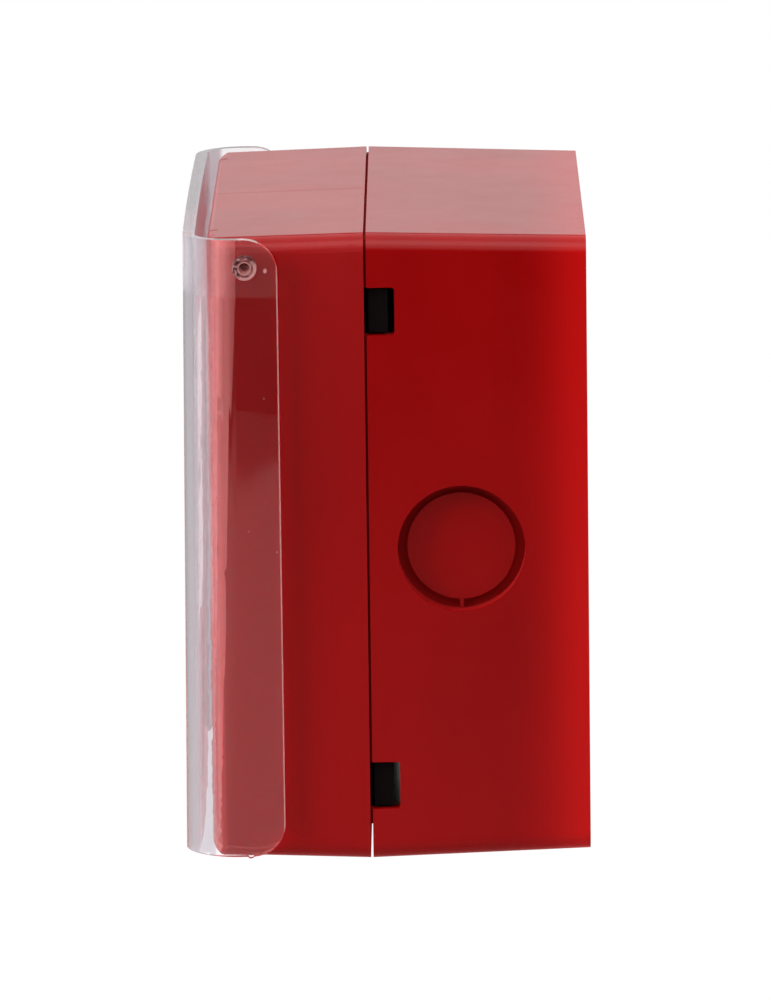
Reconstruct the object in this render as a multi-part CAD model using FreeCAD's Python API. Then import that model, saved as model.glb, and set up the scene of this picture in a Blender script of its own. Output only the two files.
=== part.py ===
import FreeCAD, Part
import math
import os

# Surface-mounted, resettable fire alarm call point with a clear lift-up cover.
# Frame: origin at the centre of the wall face, +Z up, +X to the right as seen
# from the front, and the front faces -Y.  A "depth" is a distance out from the
# wall, so a point at depth d lies at Y = -d.  Every size is in millimetres.

V = FreeCAD.Vector

# Body, measured at the split line between the back box and the front housing
body_width = 86.0
body_height = 93.0
box_depth = 31.9
split_gap = 0.35
housing_depth = 22.7
draft_deg = 1.64
long_edge_radius = 2.5
front_edge_radius = 0.8
end_setback = 1.3

# Walls
box_wall = 2.6
box_floor = 2.5
housing_wall = 2.4
front_wall = 2.4
inner_radius = 0.8
rib_thickness = 1.5

# How far a fused piece reaches into its carrier, and a cut runs past a face
sink = 0.5
past = 1.0

# Fits
screw_gap = 0.02
running_gap = 0.06
hinge_clearance = 0.07
slide_gap = 0.15
screw_play = 0.2

# Back box: latch notches, side knock-outs, wall slots and rear cable entry
notch_height = 7.0
notch_depth = 4.05
notch_setback = 11.3
notch_radius = 0.5
knockout_radius = 9.3
knockout_gap = 1.4
knockout_recess = 2.15
knockout_groove = 3.0
knockout_web = 0.7
knockout_pad = 1.2
knockout_setback = 13.4
knockout_bridge = 0.6
bead_setback = 0.9
bead_width = 1.0
bead_height = 0.3
bead_tail = 2.4
wall_hole_radius = 2.25
wall_slot_length = 9.0
wall_hole_spacing = 60.3
rear_entry_radius = 10.0
rear_entry_height = 20.0
rear_entry_groove = 1.6

# Back box: screw columns and the earth terminal
column_radius = 3.5
column_drop = 1.9
column_side_setback = 14.6
column_end_setback = 20.5
gusset_drop = 6.0
earth_setback = 15.5
earth_pad_width = 10.0
earth_pad_height = 1.5
earth_post_width = 7.0
earth_post_height = 6.5
earth_wire_rise = 2.6
earth_wire_radius = 1.6
earth_skin = 1.0

# Face plate, the opening it closes and the clips that hold it
plate_side_margin = 9.8
plate_top_margin = 9.8
plate_bottom_margin = 8.3
plate_thickness = 2.2
plate_gap = 0.3
plate_corner_radius = 3.0
plate_edge_radius = 0.4
ledge_width = 2.2
ledge_root = 2.0
ledge_thickness = 1.6
throat_radius = 1.5
seam_width = 0.45
seam_length = 1.5
seam_depth = 1.6
window_side_margin = 10.2
window_top_margin = 7.7
window_bottom_margin = 21.2
window_corner_radius = 2.0
window_bevel = 0.9
slot_height = 3.0
slot_drop = 4.2
slot_corner_radius = 0.8
clip_width = 8.0
clip_thickness = 1.3
clip_catch = 0.7
clip_reach = 2.4
clip_inset = 15.2
clip_play = 0.1

# Clear cover
cover_gap = 0.25
panel_thickness = 1.8
flange_thickness = 1.6
flange_reach = 10.25
panel_space = 1.75
panel_lean = 0.9
panel_bow = 0.15
cover_top_drop = 0.35
cover_bottom_drop = 1.15
cover_corner_radius = 7.8
cover_inner_radius = 4.7
cover_rear_radius = 5.0
band_height = 8.5
band_extra = 0.2
pin_radius = 1.7
pin_core_radius = 0.85
pin_length = 2.9
pin_end_wall = 0.8
pin_setback = 4.75
pin_drop = 4.2
pin_ring_gap = 0.4
pin_ring_width = 0.35
pin_ring_height = 0.25
hinge_boss_radius = 3.4
hinge_boss_height = 1.4
gate_mark_radius = 0.3
gate_mark_height = 0.15
gate_mark_setback = 3.0
gate_mark_drop = 0.4
nub_radius = 0.5
nub_setback = 5.1
nub_rise = 0.25

# Chassis
chassis_clearance = 0.25
chassis_end_gap = 5.5
chassis_corner_radius = 3.0
chassis_inner_radius = 1.5
chassis_plate = 2.0
chassis_skirt = 1.8
chassis_setback = 11.95
spigot_length = 2.4
lug_height = 6.4
lug_reach = 1.9
lug_length = 2.8
lug_setback = 0.3
pillar_radius = 3.3
pillar_gap = 0.1
pillar_hole_play = 0.3
board_pillar_radius = 2.6
board_pillar_skin = 0.6
spring_cup_wall = 1.3
spring_cup_height = 1.5
spring_cup_play = 0.4
spring_stop_width = 7.0
spring_stop_height = 2.0
spring_stop_proud = 1.0
housing_screw_inset = 11.0
housing_boss_gap = 2.6
housing_boss_radius = 2.7
housing_boss_bore = 6.0
housing_web_start = 1.0

# Circuit board, status lamp and light guide
board_thickness = 1.6
board_side_margin = 18.5
board_top_gap = 1.7
board_bottom_gap = 13.2
board_corner_radius = 1.5
board_standoff = 5.0
board_screw_side_inset = 3.5
board_screw_end_inset = 4.2
led_drop = 4.5
led_width = 3.5
led_height = 2.8
led_thickness = 0.9
led_lens_radius = 1.1
led_lens_height = 0.4
guide_radius = 1.5
guide_play = 0.05
guide_back_gap = 1.5
guide_proud = 0.15
guide_tip_radius = 0.5
guide_collar_radius = 2.3
guide_collar_thickness = 1.0

# Terminal block on the back of the board
way_pitch = 5.08
way_count = 6
block_height = 10.0
block_depth = 11.0
block_rise = 11.5
block_leg_gap = 1.66
well_width = 3.8
well_wall = 1.6
well_floor = 1.2
well_shelf = 2.2
driver_hole_radius = 1.7
leg_hole_radius = 0.6
clamp_width = 3.6
clamp_wall = 0.5
clamp_drop = 2.2
clamp_rise = 2.4
clamp_setback = 3.4
clamp_crown = 1.0
clamp_sole = 0.8
clamp_bore_radius = 1.0
clamp_leg_radius = 0.5
clamp_screw_radius = 0.98
clamp_head_radius = 1.6
clamp_screw_reach = 2.6
leg_length = 1.2

# Resistors
resistor_count = 2
resistor_drop = 20.5
resistor_pitch = 5.0
resistor_inset = 11.5
resistor_span = 11.0
resistor_length = 6.4
resistor_radius = 1.15
resistor_lift = 1.5
resistor_bend = 0.8
lead_radius = 0.3
lead_hole_radius = 0.4
lead_stub = 1.0

# Press panel
press_gap = 0.25
press_bottom_gap = 0.35
press_thickness = 2.2
press_recess = 0.95
press_edge_radius = 0.4
press_axis_back = 3.0
press_axis_drop = 1.35
press_pin_radius = 1.25
press_pin_length = 2.5
press_swing_deg = 4.0
press_ear_width = 3.0
press_ear_margin = 0.35
press_rib_inset = 0.8
press_rib_thickness = 1.4
press_rib_height = 1.6
press_rib_end_gap = 1.5
post_gap = 0.6
post_thickness = 2.0
post_half_height = 2.6
post_proud = 1.35
mouth_share = 0.8
spot_radius = 6.0
spot_depth = 0.3
lever_post_width = 2.4
lever_post_height = 1.6
lever_post_gap = 0.45

# Indicator flag and its latch
flag_inset = 12.0
flag_frame = 3.0
flag_thickness = 1.6
flag_space = 3.6
flag_overrun = 0.06
flag_rise = 31.0
flag_tail = 3.6
flag_corner_radius = 1.0
flag_pad_reach = 3.4
flag_pad_gap = 0.2
flag_view_margin = 0.4
ear_width = 2.4
ear_height = 2.4
ear_rise = 22.0
hook_play = 0.1
hook_side_gap = 0.5
hook_toe = 0.5
hook_arm = 2.2
hook_taper = 0.6
rail_thickness = 2.0
rail_lip = 1.0
rail_lip_thickness = 1.0
rail_end_gap = 2.0

# Reset cam
cam_rise = 8.2
cam_journal_radius = 4.0
cam_journal_recess = 0.2
cam_disc_radius = 5.4
cam_disc_thickness = 1.6
cam_disc_play = 0.1
cam_crank = 4.2
cam_pin_radius = 0.9
cam_pin_play = 0.1
cam_pin_reach = 0.6
cam_axle_radius = 1.5
cam_axle_gap = 0.3
cam_axle_room = 0.6
cam_slot_wall = 0.8
key_slot_width = 1.8
key_slot_length = 5.0
key_slot_depth = 3.5

# Microswitch
switch_inset = 5.4
switch_rise = 21.8
switch_width = 6.4
switch_length = 19.8
switch_depth = 10.2
switch_lift = 0.3
switch_foot = 1.5
switch_room = 0.4
switch_rivet_radius = 1.0
switch_rivet_inset = 3.5
switch_rivet_rise = 3.0
switch_ear_gap = 0.1
switch_ear_half_height = 1.0
switch_ear_proud = 0.9
switch_leg_pitch = 7.0
switch_leg_width = 1.4
switch_leg_thickness = 0.7
switch_leg_hole_radius = 0.85
lever_thickness = 0.5
lever_width = 4.4
lever_reach = 16.6
lever_drop = 1.4
lever_rest_deg = 10.0
lever_pin_radius = 0.5
lever_pin_play = 0.05
button_radius = 1.0
button_offset = 5.0
button_length = 2.4
button_well = 3.5
button_gap = 0.15
button_tip_radius = 0.4

# Springs
spring_wire = 0.5
press_spring_radius = 2.5
press_spring_turns = 5
press_spring_rise = 9.0
spring_spigot_play = 0.1
spring_spigot_height = 1.2
flag_spring_radius = 1.6
flag_spring_turns = 5
flag_spring_length = 6.0

# Screws
small_screw_radius = 1.1
small_head_radius = 2.0
small_head_height = 1.5
housing_screw_reach = 5.0
board_screw_reach = 4.5
earth_head_radius = 2.6
earth_head_height = 1.8
earth_tip_gap = 0.5
module_screw_radius = 1.5
module_head_radius = 2.8
module_head_height = 2.0
module_screw_grip = 9.0
screw_slot_width = 0.6
screw_slot_share = 0.45
screw_slot_reach = 0.7

# Places worked out from the sizes above, as depths from the wall
split_face = box_depth + split_gap
face_depth = split_face + housing_depth
taper = math.tan(math.radians(draft_deg))
plate_back = face_depth - plate_thickness
ledge_back = plate_back - ledge_thickness
chassis_front = face_depth - chassis_setback
chassis_back = chassis_front - chassis_plate
board_front = chassis_back - board_standoff
board_back = board_front - board_thickness
block_back = board_back - block_depth
spigot_end = box_depth - spigot_length
column_top = box_depth - column_drop
earth_seat = box_floor + earth_pad_height
press_front = face_depth - press_recess
press_back = press_front - press_thickness
press_axis_depth = press_front - press_axis_back
flag_back = chassis_front + flag_space
flag_front = flag_back + flag_thickness
flange_back = face_depth - flange_reach
pin_depth = flange_back + pin_setback
panel_inside = face_depth + panel_space
switch_front = board_front + switch_lift + switch_depth
lever_axis_depth = switch_front + lever_thickness

# Widths and places across the body
plate_width = body_width - 2 * plate_side_margin
window_width = plate_width - 2 * window_side_margin
press_half_width = window_width / 2 - press_gap
flag_half_width = window_width / 2 - flag_inset
slot_width = 2 * (flag_half_width - flag_frame)
switch_x = window_width / 2 - switch_inset
press_spring_x = -switch_x
board_width = body_width - 2 * board_side_margin
board_screw_x = board_width / 2 - board_screw_side_inset
resistor_x = resistor_inset - board_width / 2
block_half_width = way_count * way_pitch / 2
block_x = switch_x - switch_leg_width / 2 - block_leg_gap - block_half_width
column_x = body_width / 2 - column_side_setback
clip_x = plate_width / 2 - clip_inset

# Heights
plate_top = body_height / 2 - plate_top_margin
plate_bottom = plate_bottom_margin - body_height / 2
plate_height = plate_top - plate_bottom
plate_centre_z = (plate_top + plate_bottom) / 2
window_top = plate_top - window_top_margin
window_bottom = plate_bottom + window_bottom_margin
window_height = window_top - window_bottom
window_centre_z = (window_top + window_bottom) / 2
slot_top = window_bottom - slot_drop
slot_centre_z = slot_top - slot_height / 2
cover_top = body_height / 2 - cover_top_drop
cover_bottom = cover_bottom_drop - body_height / 2
pin_z = cover_top - pin_drop
press_axis_z = window_top - press_gap - press_axis_drop
press_spring_z = window_bottom + press_spring_rise
cam_z = plate_bottom + cam_rise
flag_drop = slot_height + flag_overrun
flag_top = cam_z + flag_rise
flag_bottom = cam_z - flag_tail
ear_bottom = cam_z + ear_rise
switch_top = window_bottom + switch_rise
lever_axis_z = switch_top - lever_drop
chassis_half_height = body_height / 2 - chassis_end_gap
board_top = chassis_half_height - chassis_skirt - board_top_gap
board_bottom = board_bottom_gap + chassis_skirt - chassis_half_height
led_z = board_top - led_drop
block_centre_z = board_bottom + block_rise
column_z = body_height / 2 - column_end_setback
notch_z = body_height / 2 - notch_setback
earth_z = earth_setback - body_height / 2

# Angles
cam_swing_deg = 2 * math.degrees(math.asin(flag_drop / 2 / cam_crank))


def block(x0, x1, depth0, depth1, z0, z1):
    """A box between two corners, given by their depths from the wall."""
    corner = V(min(x0, x1), -max(depth0, depth1), min(z0, z1))
    return Part.makeBox(abs(x1 - x0), abs(depth1 - depth0), abs(z1 - z0), corner)


def rod(x, z, radius, depth0, depth1):
    """A round bar that points out from the wall."""
    start = V(x, -min(depth0, depth1), z)
    return Part.makeCylinder(radius, abs(depth1 - depth0), start, V(0, -1, 0))


def cross_rod(depth, z, radius, x0, x1):
    """A round bar across the body, along X."""
    return Part.makeCylinder(radius, abs(x1 - x0), V(min(x0, x1), -depth, z), V(1, 0, 0))


def rounded_wire(half_w, half_h, radius, depth, x=0.0, z=0.0):
    """A rectangle with round corners, facing the front."""
    y = -depth
    bend = radius * (1 - math.sqrt(0.5))
    edges = []
    for sx, sz in ((1, 1), (-1, 1), (-1, -1), (1, -1)):
        side = V(x + sx * half_w, y, z + sz * (half_h - radius))
        middle = V(x + sx * (half_w - bend), y, z + sz * (half_h - bend))
        end = V(x + sx * (half_w - radius), y, z + sz * half_h)
        ends = (side, end) if sx == sz else (end, side)
        if edges:
            last = edges[-1].Vertexes[-1].Point
            edges.append(Part.makeLine(last, ends[0]))
        edges.append(Part.Arc(ends[0], middle, ends[1]).toShape())
    edges.append(Part.makeLine(edges[-1].Vertexes[-1].Point, edges[0].Vertexes[0].Point))
    return Part.Wire(edges)


def rounded_block(width, height, radius, depth0, depth1, x=0.0, z=0.0):
    """A slab with round corners, facing the front."""
    wire = rounded_wire(width / 2, height / 2, radius, min(depth0, depth1), x, z)
    return Part.Face(wire).extrude(V(0, -abs(depth1 - depth0), 0))


def slot_bar(length, radius, depth0, depth1, x, z):
    """A bar whose section is a slot with round ends, lying along X."""
    run = length / 2 - radius
    ends = [rod(x + side * run, z, radius, depth0, depth1) for side in (1, -1)]
    middle = block(x - run, x + run, depth0, depth1, z - radius, z + radius)
    return fuse(middle, *ends)


def side_prism(points, x0, x1):
    """A prism across the body from a side outline of (depth, z) points."""
    corners = [V(min(x0, x1), -depth, z) for depth, z in points]
    face = Part.Face(Part.makePolygon(corners + corners[:1]))
    return face.extrude(V(abs(x1 - x0), 0, 0))


def fuse(*shapes):
    """One solid from pieces that overlap or share a face."""
    return shapes[0].fuse(list(shapes[1:])).removeSplitter()


def draw_in(depth):
    """How far the drafted sides stand in from their size at the split."""
    if depth <= box_depth:
        return taper * (box_depth - depth)
    return taper * max(0.0, depth - split_face)


def half_width_at(depth):
    return body_width / 2 - draw_in(depth)


def half_height_at(depth):
    return body_height / 2 - draw_in(depth)


def body_block(depth0, depth1, inset):
    """The drafted body between two depths, made smaller by an inset."""
    radius = max(long_edge_radius - inset, inner_radius)
    wires = []
    for depth in (depth0, depth1):
        half_w = half_width_at(depth) - inset
        half_h = half_height_at(depth) - inset
        wires.append(rounded_wire(half_w, half_h, radius, depth))
    return Part.makeLoft(wires, True, True)


def front_prism(shift):
    """All that lies behind the front face, whose two ends fall back."""
    flat = plate_width / 2 + plate_gap
    run = half_width_at(face_depth) - flat
    bend = (run ** 2 + end_setback ** 2) / (2 * end_setback)
    over = math.asin((run + 2 * past) / bend)
    front = face_depth - shift

    def on_arc(side, angle):
        return V(side * (flat + bend * math.sin(angle)), -(front - bend * (1 - math.cos(angle))), 0)

    right = [on_arc(1, angle) for angle in (0, over / 2, over)]
    left = [on_arc(-1, angle) for angle in (over, over / 2, 0)]
    back_right = V(right[2].x, 0, 0)
    back_left = V(left[0].x, 0, 0)
    edges = [
        Part.makeLine(left[2], right[0]),
        Part.Arc(*right).toShape(),
        Part.makeLine(right[2], back_right),
        Part.makeLine(back_right, back_left),
        Part.makeLine(back_left, left[0]),
        Part.Arc(*left).toShape(),
    ]
    prism = Part.Face(Part.Wire(edges)).extrude(V(0, 0, body_height + 2 * past))
    prism.translate(V(0, 0, -body_height / 2 - past))
    return prism


def spread(xs, zs):
    """Every place in a rectangle of positions."""
    return [(x, z) for x in xs for z in zs]


def column_places():
    return spread((-column_x, column_x), (-column_z, column_z))


def housing_screw_places():
    edge = half_width_at(chassis_front) - housing_wall - chassis_clearance - chassis_skirt
    x = edge - housing_boss_gap
    z = chassis_half_height - housing_screw_inset
    return spread((-x, x), (-z, z))


def board_screw_places():
    zs = (board_bottom + board_screw_end_inset, board_top - board_screw_end_inset)
    return spread((-board_screw_x, board_screw_x), zs)


def way_places():
    """The middle of each way of the terminal block, along X."""
    first = block_x - block_half_width + way_pitch / 2
    return [first + i * way_pitch for i in range(way_count)]


def switch_leg_heights():
    middle = switch_top - switch_length / 2
    return [middle + step * switch_leg_pitch for step in (-1, 0, 1)]


def resistor_heights():
    return [board_top - resistor_drop - i * resistor_pitch for i in range(resistor_count)]


def make_side_knockout(side):
    """The pad, the cut and the bridge of one side knock-out."""
    depth = box_depth - knockout_setback
    surface = half_width_at(depth)
    floor = surface - knockout_groove
    disc_radius = knockout_radius - knockout_gap
    disc_face = surface - knockout_recess
    pad = cross_rod(depth, 0, knockout_radius + knockout_pad, side * (floor - knockout_web),
                    side * (surface - past))
    groove = cross_rod(depth, 0, knockout_radius, side * floor, side * (surface + past))
    disc = cross_rod(depth, 0, disc_radius, side * floor, side * disc_face)
    half = knockout_bridge / 2
    bridge = block(side * floor, side * disc_face, depth - half, depth + half,
                   -(knockout_radius + sink), sink - disc_radius)
    return pad, groove.cut([disc, bridge])


def make_latch_notch(z):
    """The cut in both side walls that takes a chassis lug."""
    reach = body_width / 2 + past
    mouth = rounded_block(notch_height, 2 * notch_depth, notch_radius, -reach, reach)
    mouth.rotate(V(0, 0, 0), V(0, 0, 1), 90)
    mouth.rotate(V(0, 0, 0), V(1, 0, 0), 90)
    mouth.translate(V(0, -box_depth, z))
    return mouth


def make_rim_bead():
    """The low bead on the rim that closes the gap at the sides and top, open at the bottom."""
    root, top = box_depth - sink, box_depth + bead_height
    ring = body_block(root, top, bead_setback)
    ring = ring.cut(body_block(root, top, bead_setback + bead_width))
    stop = notch_z + notch_height / 2 + bead_tail
    reach = body_width / 2 + past
    return ring.cut(block(-reach, reach, root - past, top + past, -body_height, -stop))


def make_back_box():
    """The box that is fixed to the wall, open to the front."""
    shell = body_block(0, box_depth, 0).cut(body_block(box_floor, box_depth, box_wall))
    root = box_floor - sink
    pads, cuts = [make_rim_bead()], []
    for side in (1, -1):
        pad, groove = make_side_knockout(side)
        pads.append(pad)
        cuts.append(groove)
        cuts.append(slot_bar(wall_slot_length, wall_hole_radius, -past, box_floor + past,
                             side * wall_hole_spacing / 2, 0))
        cuts.append(make_latch_notch(side * notch_z))
    for x, z in column_places():
        wall = math.copysign(half_width_at(box_floor) - past, x)
        pads.append(rod(x, z, column_radius, root, column_top))
        pads.append(block(x, wall, root, column_top - gusset_drop, z - rib_thickness / 2,
                          z + rib_thickness / 2))
        cuts.append(rod(x, z, module_screw_radius + screw_gap, column_top - module_screw_grip - past,
                        column_top + past))
    half = earth_pad_width / 2
    pads.append(block(-half, half, root, earth_seat, earth_z - half, earth_z + half))
    cuts.append(rod(0, earth_z, small_screw_radius + screw_gap, earth_skin, earth_seat + past))
    ring = rod(0, rear_entry_height, rear_entry_radius, box_floor - rear_entry_groove, box_floor + past)
    core = rod(0, rear_entry_height, rear_entry_radius - knockout_gap, 0, box_floor + 2 * past)
    cuts.append(ring.cut(core))
    return fuse(shell, *pads).cut(cuts)


def front_edges(shape):
    """The edges around the front face, without the seams inside it."""
    found = []
    for edge in shape.Edges:
        box = edge.BoundBox
        upright = box.ZLength > 1 and box.XLength < 0.01 and box.YLength < 0.01
        if -box.YMax < face_depth - 1.3 * end_setback:
            continue
        if upright and abs(box.Center.x) < half_width_at(face_depth) - long_edge_radius:
            continue
        found.append(edge)
    return found


def make_front_housing():
    """The front moulding, with a brow above the face plate."""
    outer = body_block(split_face, face_depth + past, 0).common(front_prism(0))
    outer = outer.makeFillet(front_edge_radius, front_edges(outer))
    inner = body_block(split_face, face_depth + past, housing_wall).common(front_prism(front_wall))
    shell = outer.cut(inner)
    gap = 2 * plate_gap
    opening = rounded_block(plate_width + gap, plate_height + gap, plate_corner_radius + plate_gap,
                            plate_back, face_depth + past, 0, plate_centre_z)
    ledge = rounded_block(plate_width + 2 * ledge_root, plate_height + 2 * ledge_root,
                          plate_corner_radius + ledge_root, ledge_back, plate_back, 0, plate_centre_z)
    throat = rounded_block(plate_width - 2 * ledge_width, plate_height - 2 * ledge_width,
                           throat_radius, ledge_back - past, face_depth + past, 0, plate_centre_z)
    wall_x = half_width_at(pin_depth)
    boss_end = wall_x - housing_wall - hinge_boss_height
    top = half_height_at(face_depth)
    adds, cuts = [ledge], [opening, throat]
    for side in (1, -1):
        adds.append(cross_rod(pin_depth, pin_z, hinge_boss_radius, side * boss_end,
                              side * (wall_x - past)))
        cuts.append(cross_rod(pin_depth, pin_z, pin_radius + hinge_clearance,
                              side * (boss_end - past), side * (wall_x + 2 * past)))
        seam_x = side * (plate_width / 2 + plate_gap)
        cuts.append(block(seam_x - seam_width / 2, seam_x + seam_width / 2, face_depth - seam_length,
                          face_depth + past, top - seam_depth, top + 2 * past))
    for x, z in housing_screw_places():
        front = face_depth - front_wall + sink
        wall = math.copysign(half_width_at(face_depth) - housing_wall + sink, x)
        adds.append(rod(x, z, housing_boss_radius, chassis_front, front))
        adds.append(block(x, wall, chassis_front + housing_web_start, front - end_setback,
                          z - rib_thickness / 2, z + rib_thickness / 2))
        cuts.append(rod(x, z, small_screw_radius + screw_gap, chassis_front - past,
                        chassis_front + housing_boss_bore))
    return fuse(shell, *adds).cut(cuts)


def make_face_clip(x, up):
    """One snap clip on the back of the face plate, hooked behind the ledge."""
    edge = plate_centre_z + up * (plate_height / 2 - ledge_width - clip_play)
    root, tip, catch = plate_back + sink, ledge_back - clip_reach, ledge_back - clip_play
    inner = edge - up * clip_thickness
    points = [(root, edge), (root, inner), (tip, inner), (tip, edge),
              (catch, edge + up * clip_catch), (catch, edge)]
    return side_prism(points, x - clip_width / 2, x + clip_width / 2)


def make_face_plate():
    """The snap-in plate that frames the press panel, the flag slot and the key hole."""
    plate = rounded_block(plate_width, plate_height, plate_corner_radius, plate_back, face_depth, 0,
                          plate_centre_z)
    front = [e for e in plate.Edges if e.BoundBox.YMax < -face_depth + 0.01]
    plate = plate.makeFillet(plate_edge_radius, front)
    back, ahead = plate_back - past, face_depth + past
    window = rounded_block(window_width, window_height, window_corner_radius, back, ahead, 0,
                           window_centre_z)
    small = rounded_wire(window_width / 2, window_height / 2, window_corner_radius,
                         face_depth - window_bevel, 0, window_centre_z)
    large = rounded_wire(window_width / 2 + window_bevel, window_height / 2 + window_bevel,
                         window_corner_radius + window_bevel, face_depth, 0, window_centre_z)
    bevel = Part.makeLoft([small, large], True, True)
    slot = rounded_block(slot_width, slot_height, slot_corner_radius, back, ahead, 0, slot_centre_z)
    key_bore = rod(0, cam_z, cam_journal_radius + running_gap, back, ahead)
    guide_bore = rod(0, led_z, guide_radius + guide_play, back, ahead)
    clips = [make_face_clip(x, up) for x, up in spread((-clip_x, clip_x), (-1, 1))]
    return fuse(plate, *clips).cut([window, bevel, slot, key_bore, guide_bore])


def cover_half_width():
    """Half the clear cover's width, just clear of the body at the flange's rear edge."""
    return half_width_at(flange_back) + cover_gap + flange_thickness


def cover_outline(inset, proud):
    """The cover's plan outline, outer (inset 0) or inner (inset 1); its panel bows a little."""
    half = cover_half_width() - inset * flange_thickness
    front = panel_inside + (1 - inset) * panel_thickness + proud
    radius = cover_inner_radius if inset else cover_corner_radius
    back = flange_back - past
    turn = radius * math.sqrt(0.5)
    flat = half - radius
    bow = Part.Arc(V(-flat, -front, 0), V(0, -front - panel_bow, 0), V(flat, -front, 0))
    right = Part.Arc(V(flat, -front, 0), V(flat + turn, -front + radius - turn, 0),
                     V(half, -front + radius, 0))
    left = Part.Arc(V(-half, -front + radius, 0), V(-flat - turn, -front + radius - turn, 0),
                    V(-flat, -front, 0))
    edges = [
        bow.toShape(),
        right.toShape(),
        Part.makeLine(V(half, -front + radius, 0), V(half, -back, 0)),
        Part.makeLine(V(half, -back, 0), V(-half, -back, 0)),
        Part.makeLine(V(-half, -back, 0), V(-half, -front + radius, 0)),
        left.toShape(),
    ]
    return Part.Face(Part.Wire(edges))


def leaning_prism(face, z0, z1):
    """A plan outline drawn upwards, standing further out at the bottom."""
    lean = panel_lean / (cover_top - cover_bottom)
    prism = face.extrude(V(0, lean * (z1 - z0), z1 - z0))
    prism.translate(V(0, -lean * (cover_top - z0), z0))
    return prism


def flange_outline():
    """The side outline of the cover, with its round rear corners."""
    reach = cover_half_width() + past
    front = panel_inside + panel_thickness + panel_lean + panel_bow + past
    slab = block(-reach, reach, flange_back, front, cover_bottom, cover_top)
    rear = [
        edge for edge in slab.Edges
        if edge.BoundBox.XLength > reach and abs(edge.BoundBox.Center.y + flange_back) < 0.01
    ]
    return slab.makeFillet(cover_rear_radius, rear)


def make_clear_cover():
    """One clear moulding: a bowed panel, two flanges and two hinge pins."""
    outer = leaning_prism(cover_outline(0, 0), cover_bottom, cover_top).common(flange_outline())
    band = leaning_prism(cover_outline(1, 0), cover_top - band_height, cover_top + past)
    thin = leaning_prism(cover_outline(1, band_extra), cover_bottom - past, cover_top - band_height)
    cover = outer.cut([band, thin])
    outside = cover_half_width()
    root = outside - sink
    tip = outside - flange_thickness - pin_length
    ring_inner = pin_core_radius + pin_ring_gap
    groove = outside - gate_mark_height / 3
    adds, cores = [], []
    for side in (1, -1):
        adds.append(cross_rod(pin_depth, pin_z, pin_radius, side * tip, side * root))
        adds.append(cross_rod(pin_depth, pin_z, ring_inner + pin_ring_width, side * root,
                              side * (outside + pin_ring_height)))
        adds.append(cross_rod(pin_depth - gate_mark_setback, pin_z - gate_mark_drop, gate_mark_radius,
                              side * root, side * (outside + gate_mark_height)))
        cores.append(cross_rod(pin_depth, pin_z, pin_core_radius, side * (tip + pin_end_wall),
                               side * (outside + past)))
        cores.append(cross_rod(pin_depth, pin_z, ring_inner, side * groove, side * (outside + past)))
    adds.append(cross_rod(flange_back + nub_setback, cover_bottom + nub_rise, nub_radius,
                          outside - flange_thickness, outside))
    return fuse(cover, *adds).cut(cores)


def trunnion_post(side):
    """One bearing post of the press panel, with a snap-in mouth."""
    x = side * (press_half_width + post_gap)
    far = x + side * post_thickness
    post = block(x, far, chassis_front - sink, press_axis_depth + post_proud,
                 press_axis_z - post_half_height, press_axis_z + post_half_height)
    bore = cross_rod(press_axis_depth, press_axis_z, press_pin_radius + running_gap, x - side, far + side)
    mouth_half = press_pin_radius * mouth_share
    mouth = block(x - side, far + side, press_axis_depth, press_axis_depth + post_proud + past,
                  press_axis_z - mouth_half, press_axis_z + mouth_half)
    return post.cut([bore, mouth])


def flag_rail(side):
    """One guide rail, with a lip over the edge of the flag."""
    x = side * (flag_half_width + slide_gap)
    outer = x + side * rail_thickness
    inner = x - side * rail_lip
    lip_back = flag_front + slide_gap
    lip_front = lip_back + rail_lip_thickness
    z0, z1 = flag_bottom + rail_end_gap, slot_centre_z + slot_height
    web = block(x, outer, chassis_front - sink, lip_front, z0, z1)
    return fuse(web, block(inner, outer, lip_back, lip_front, z0, z1))


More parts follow.
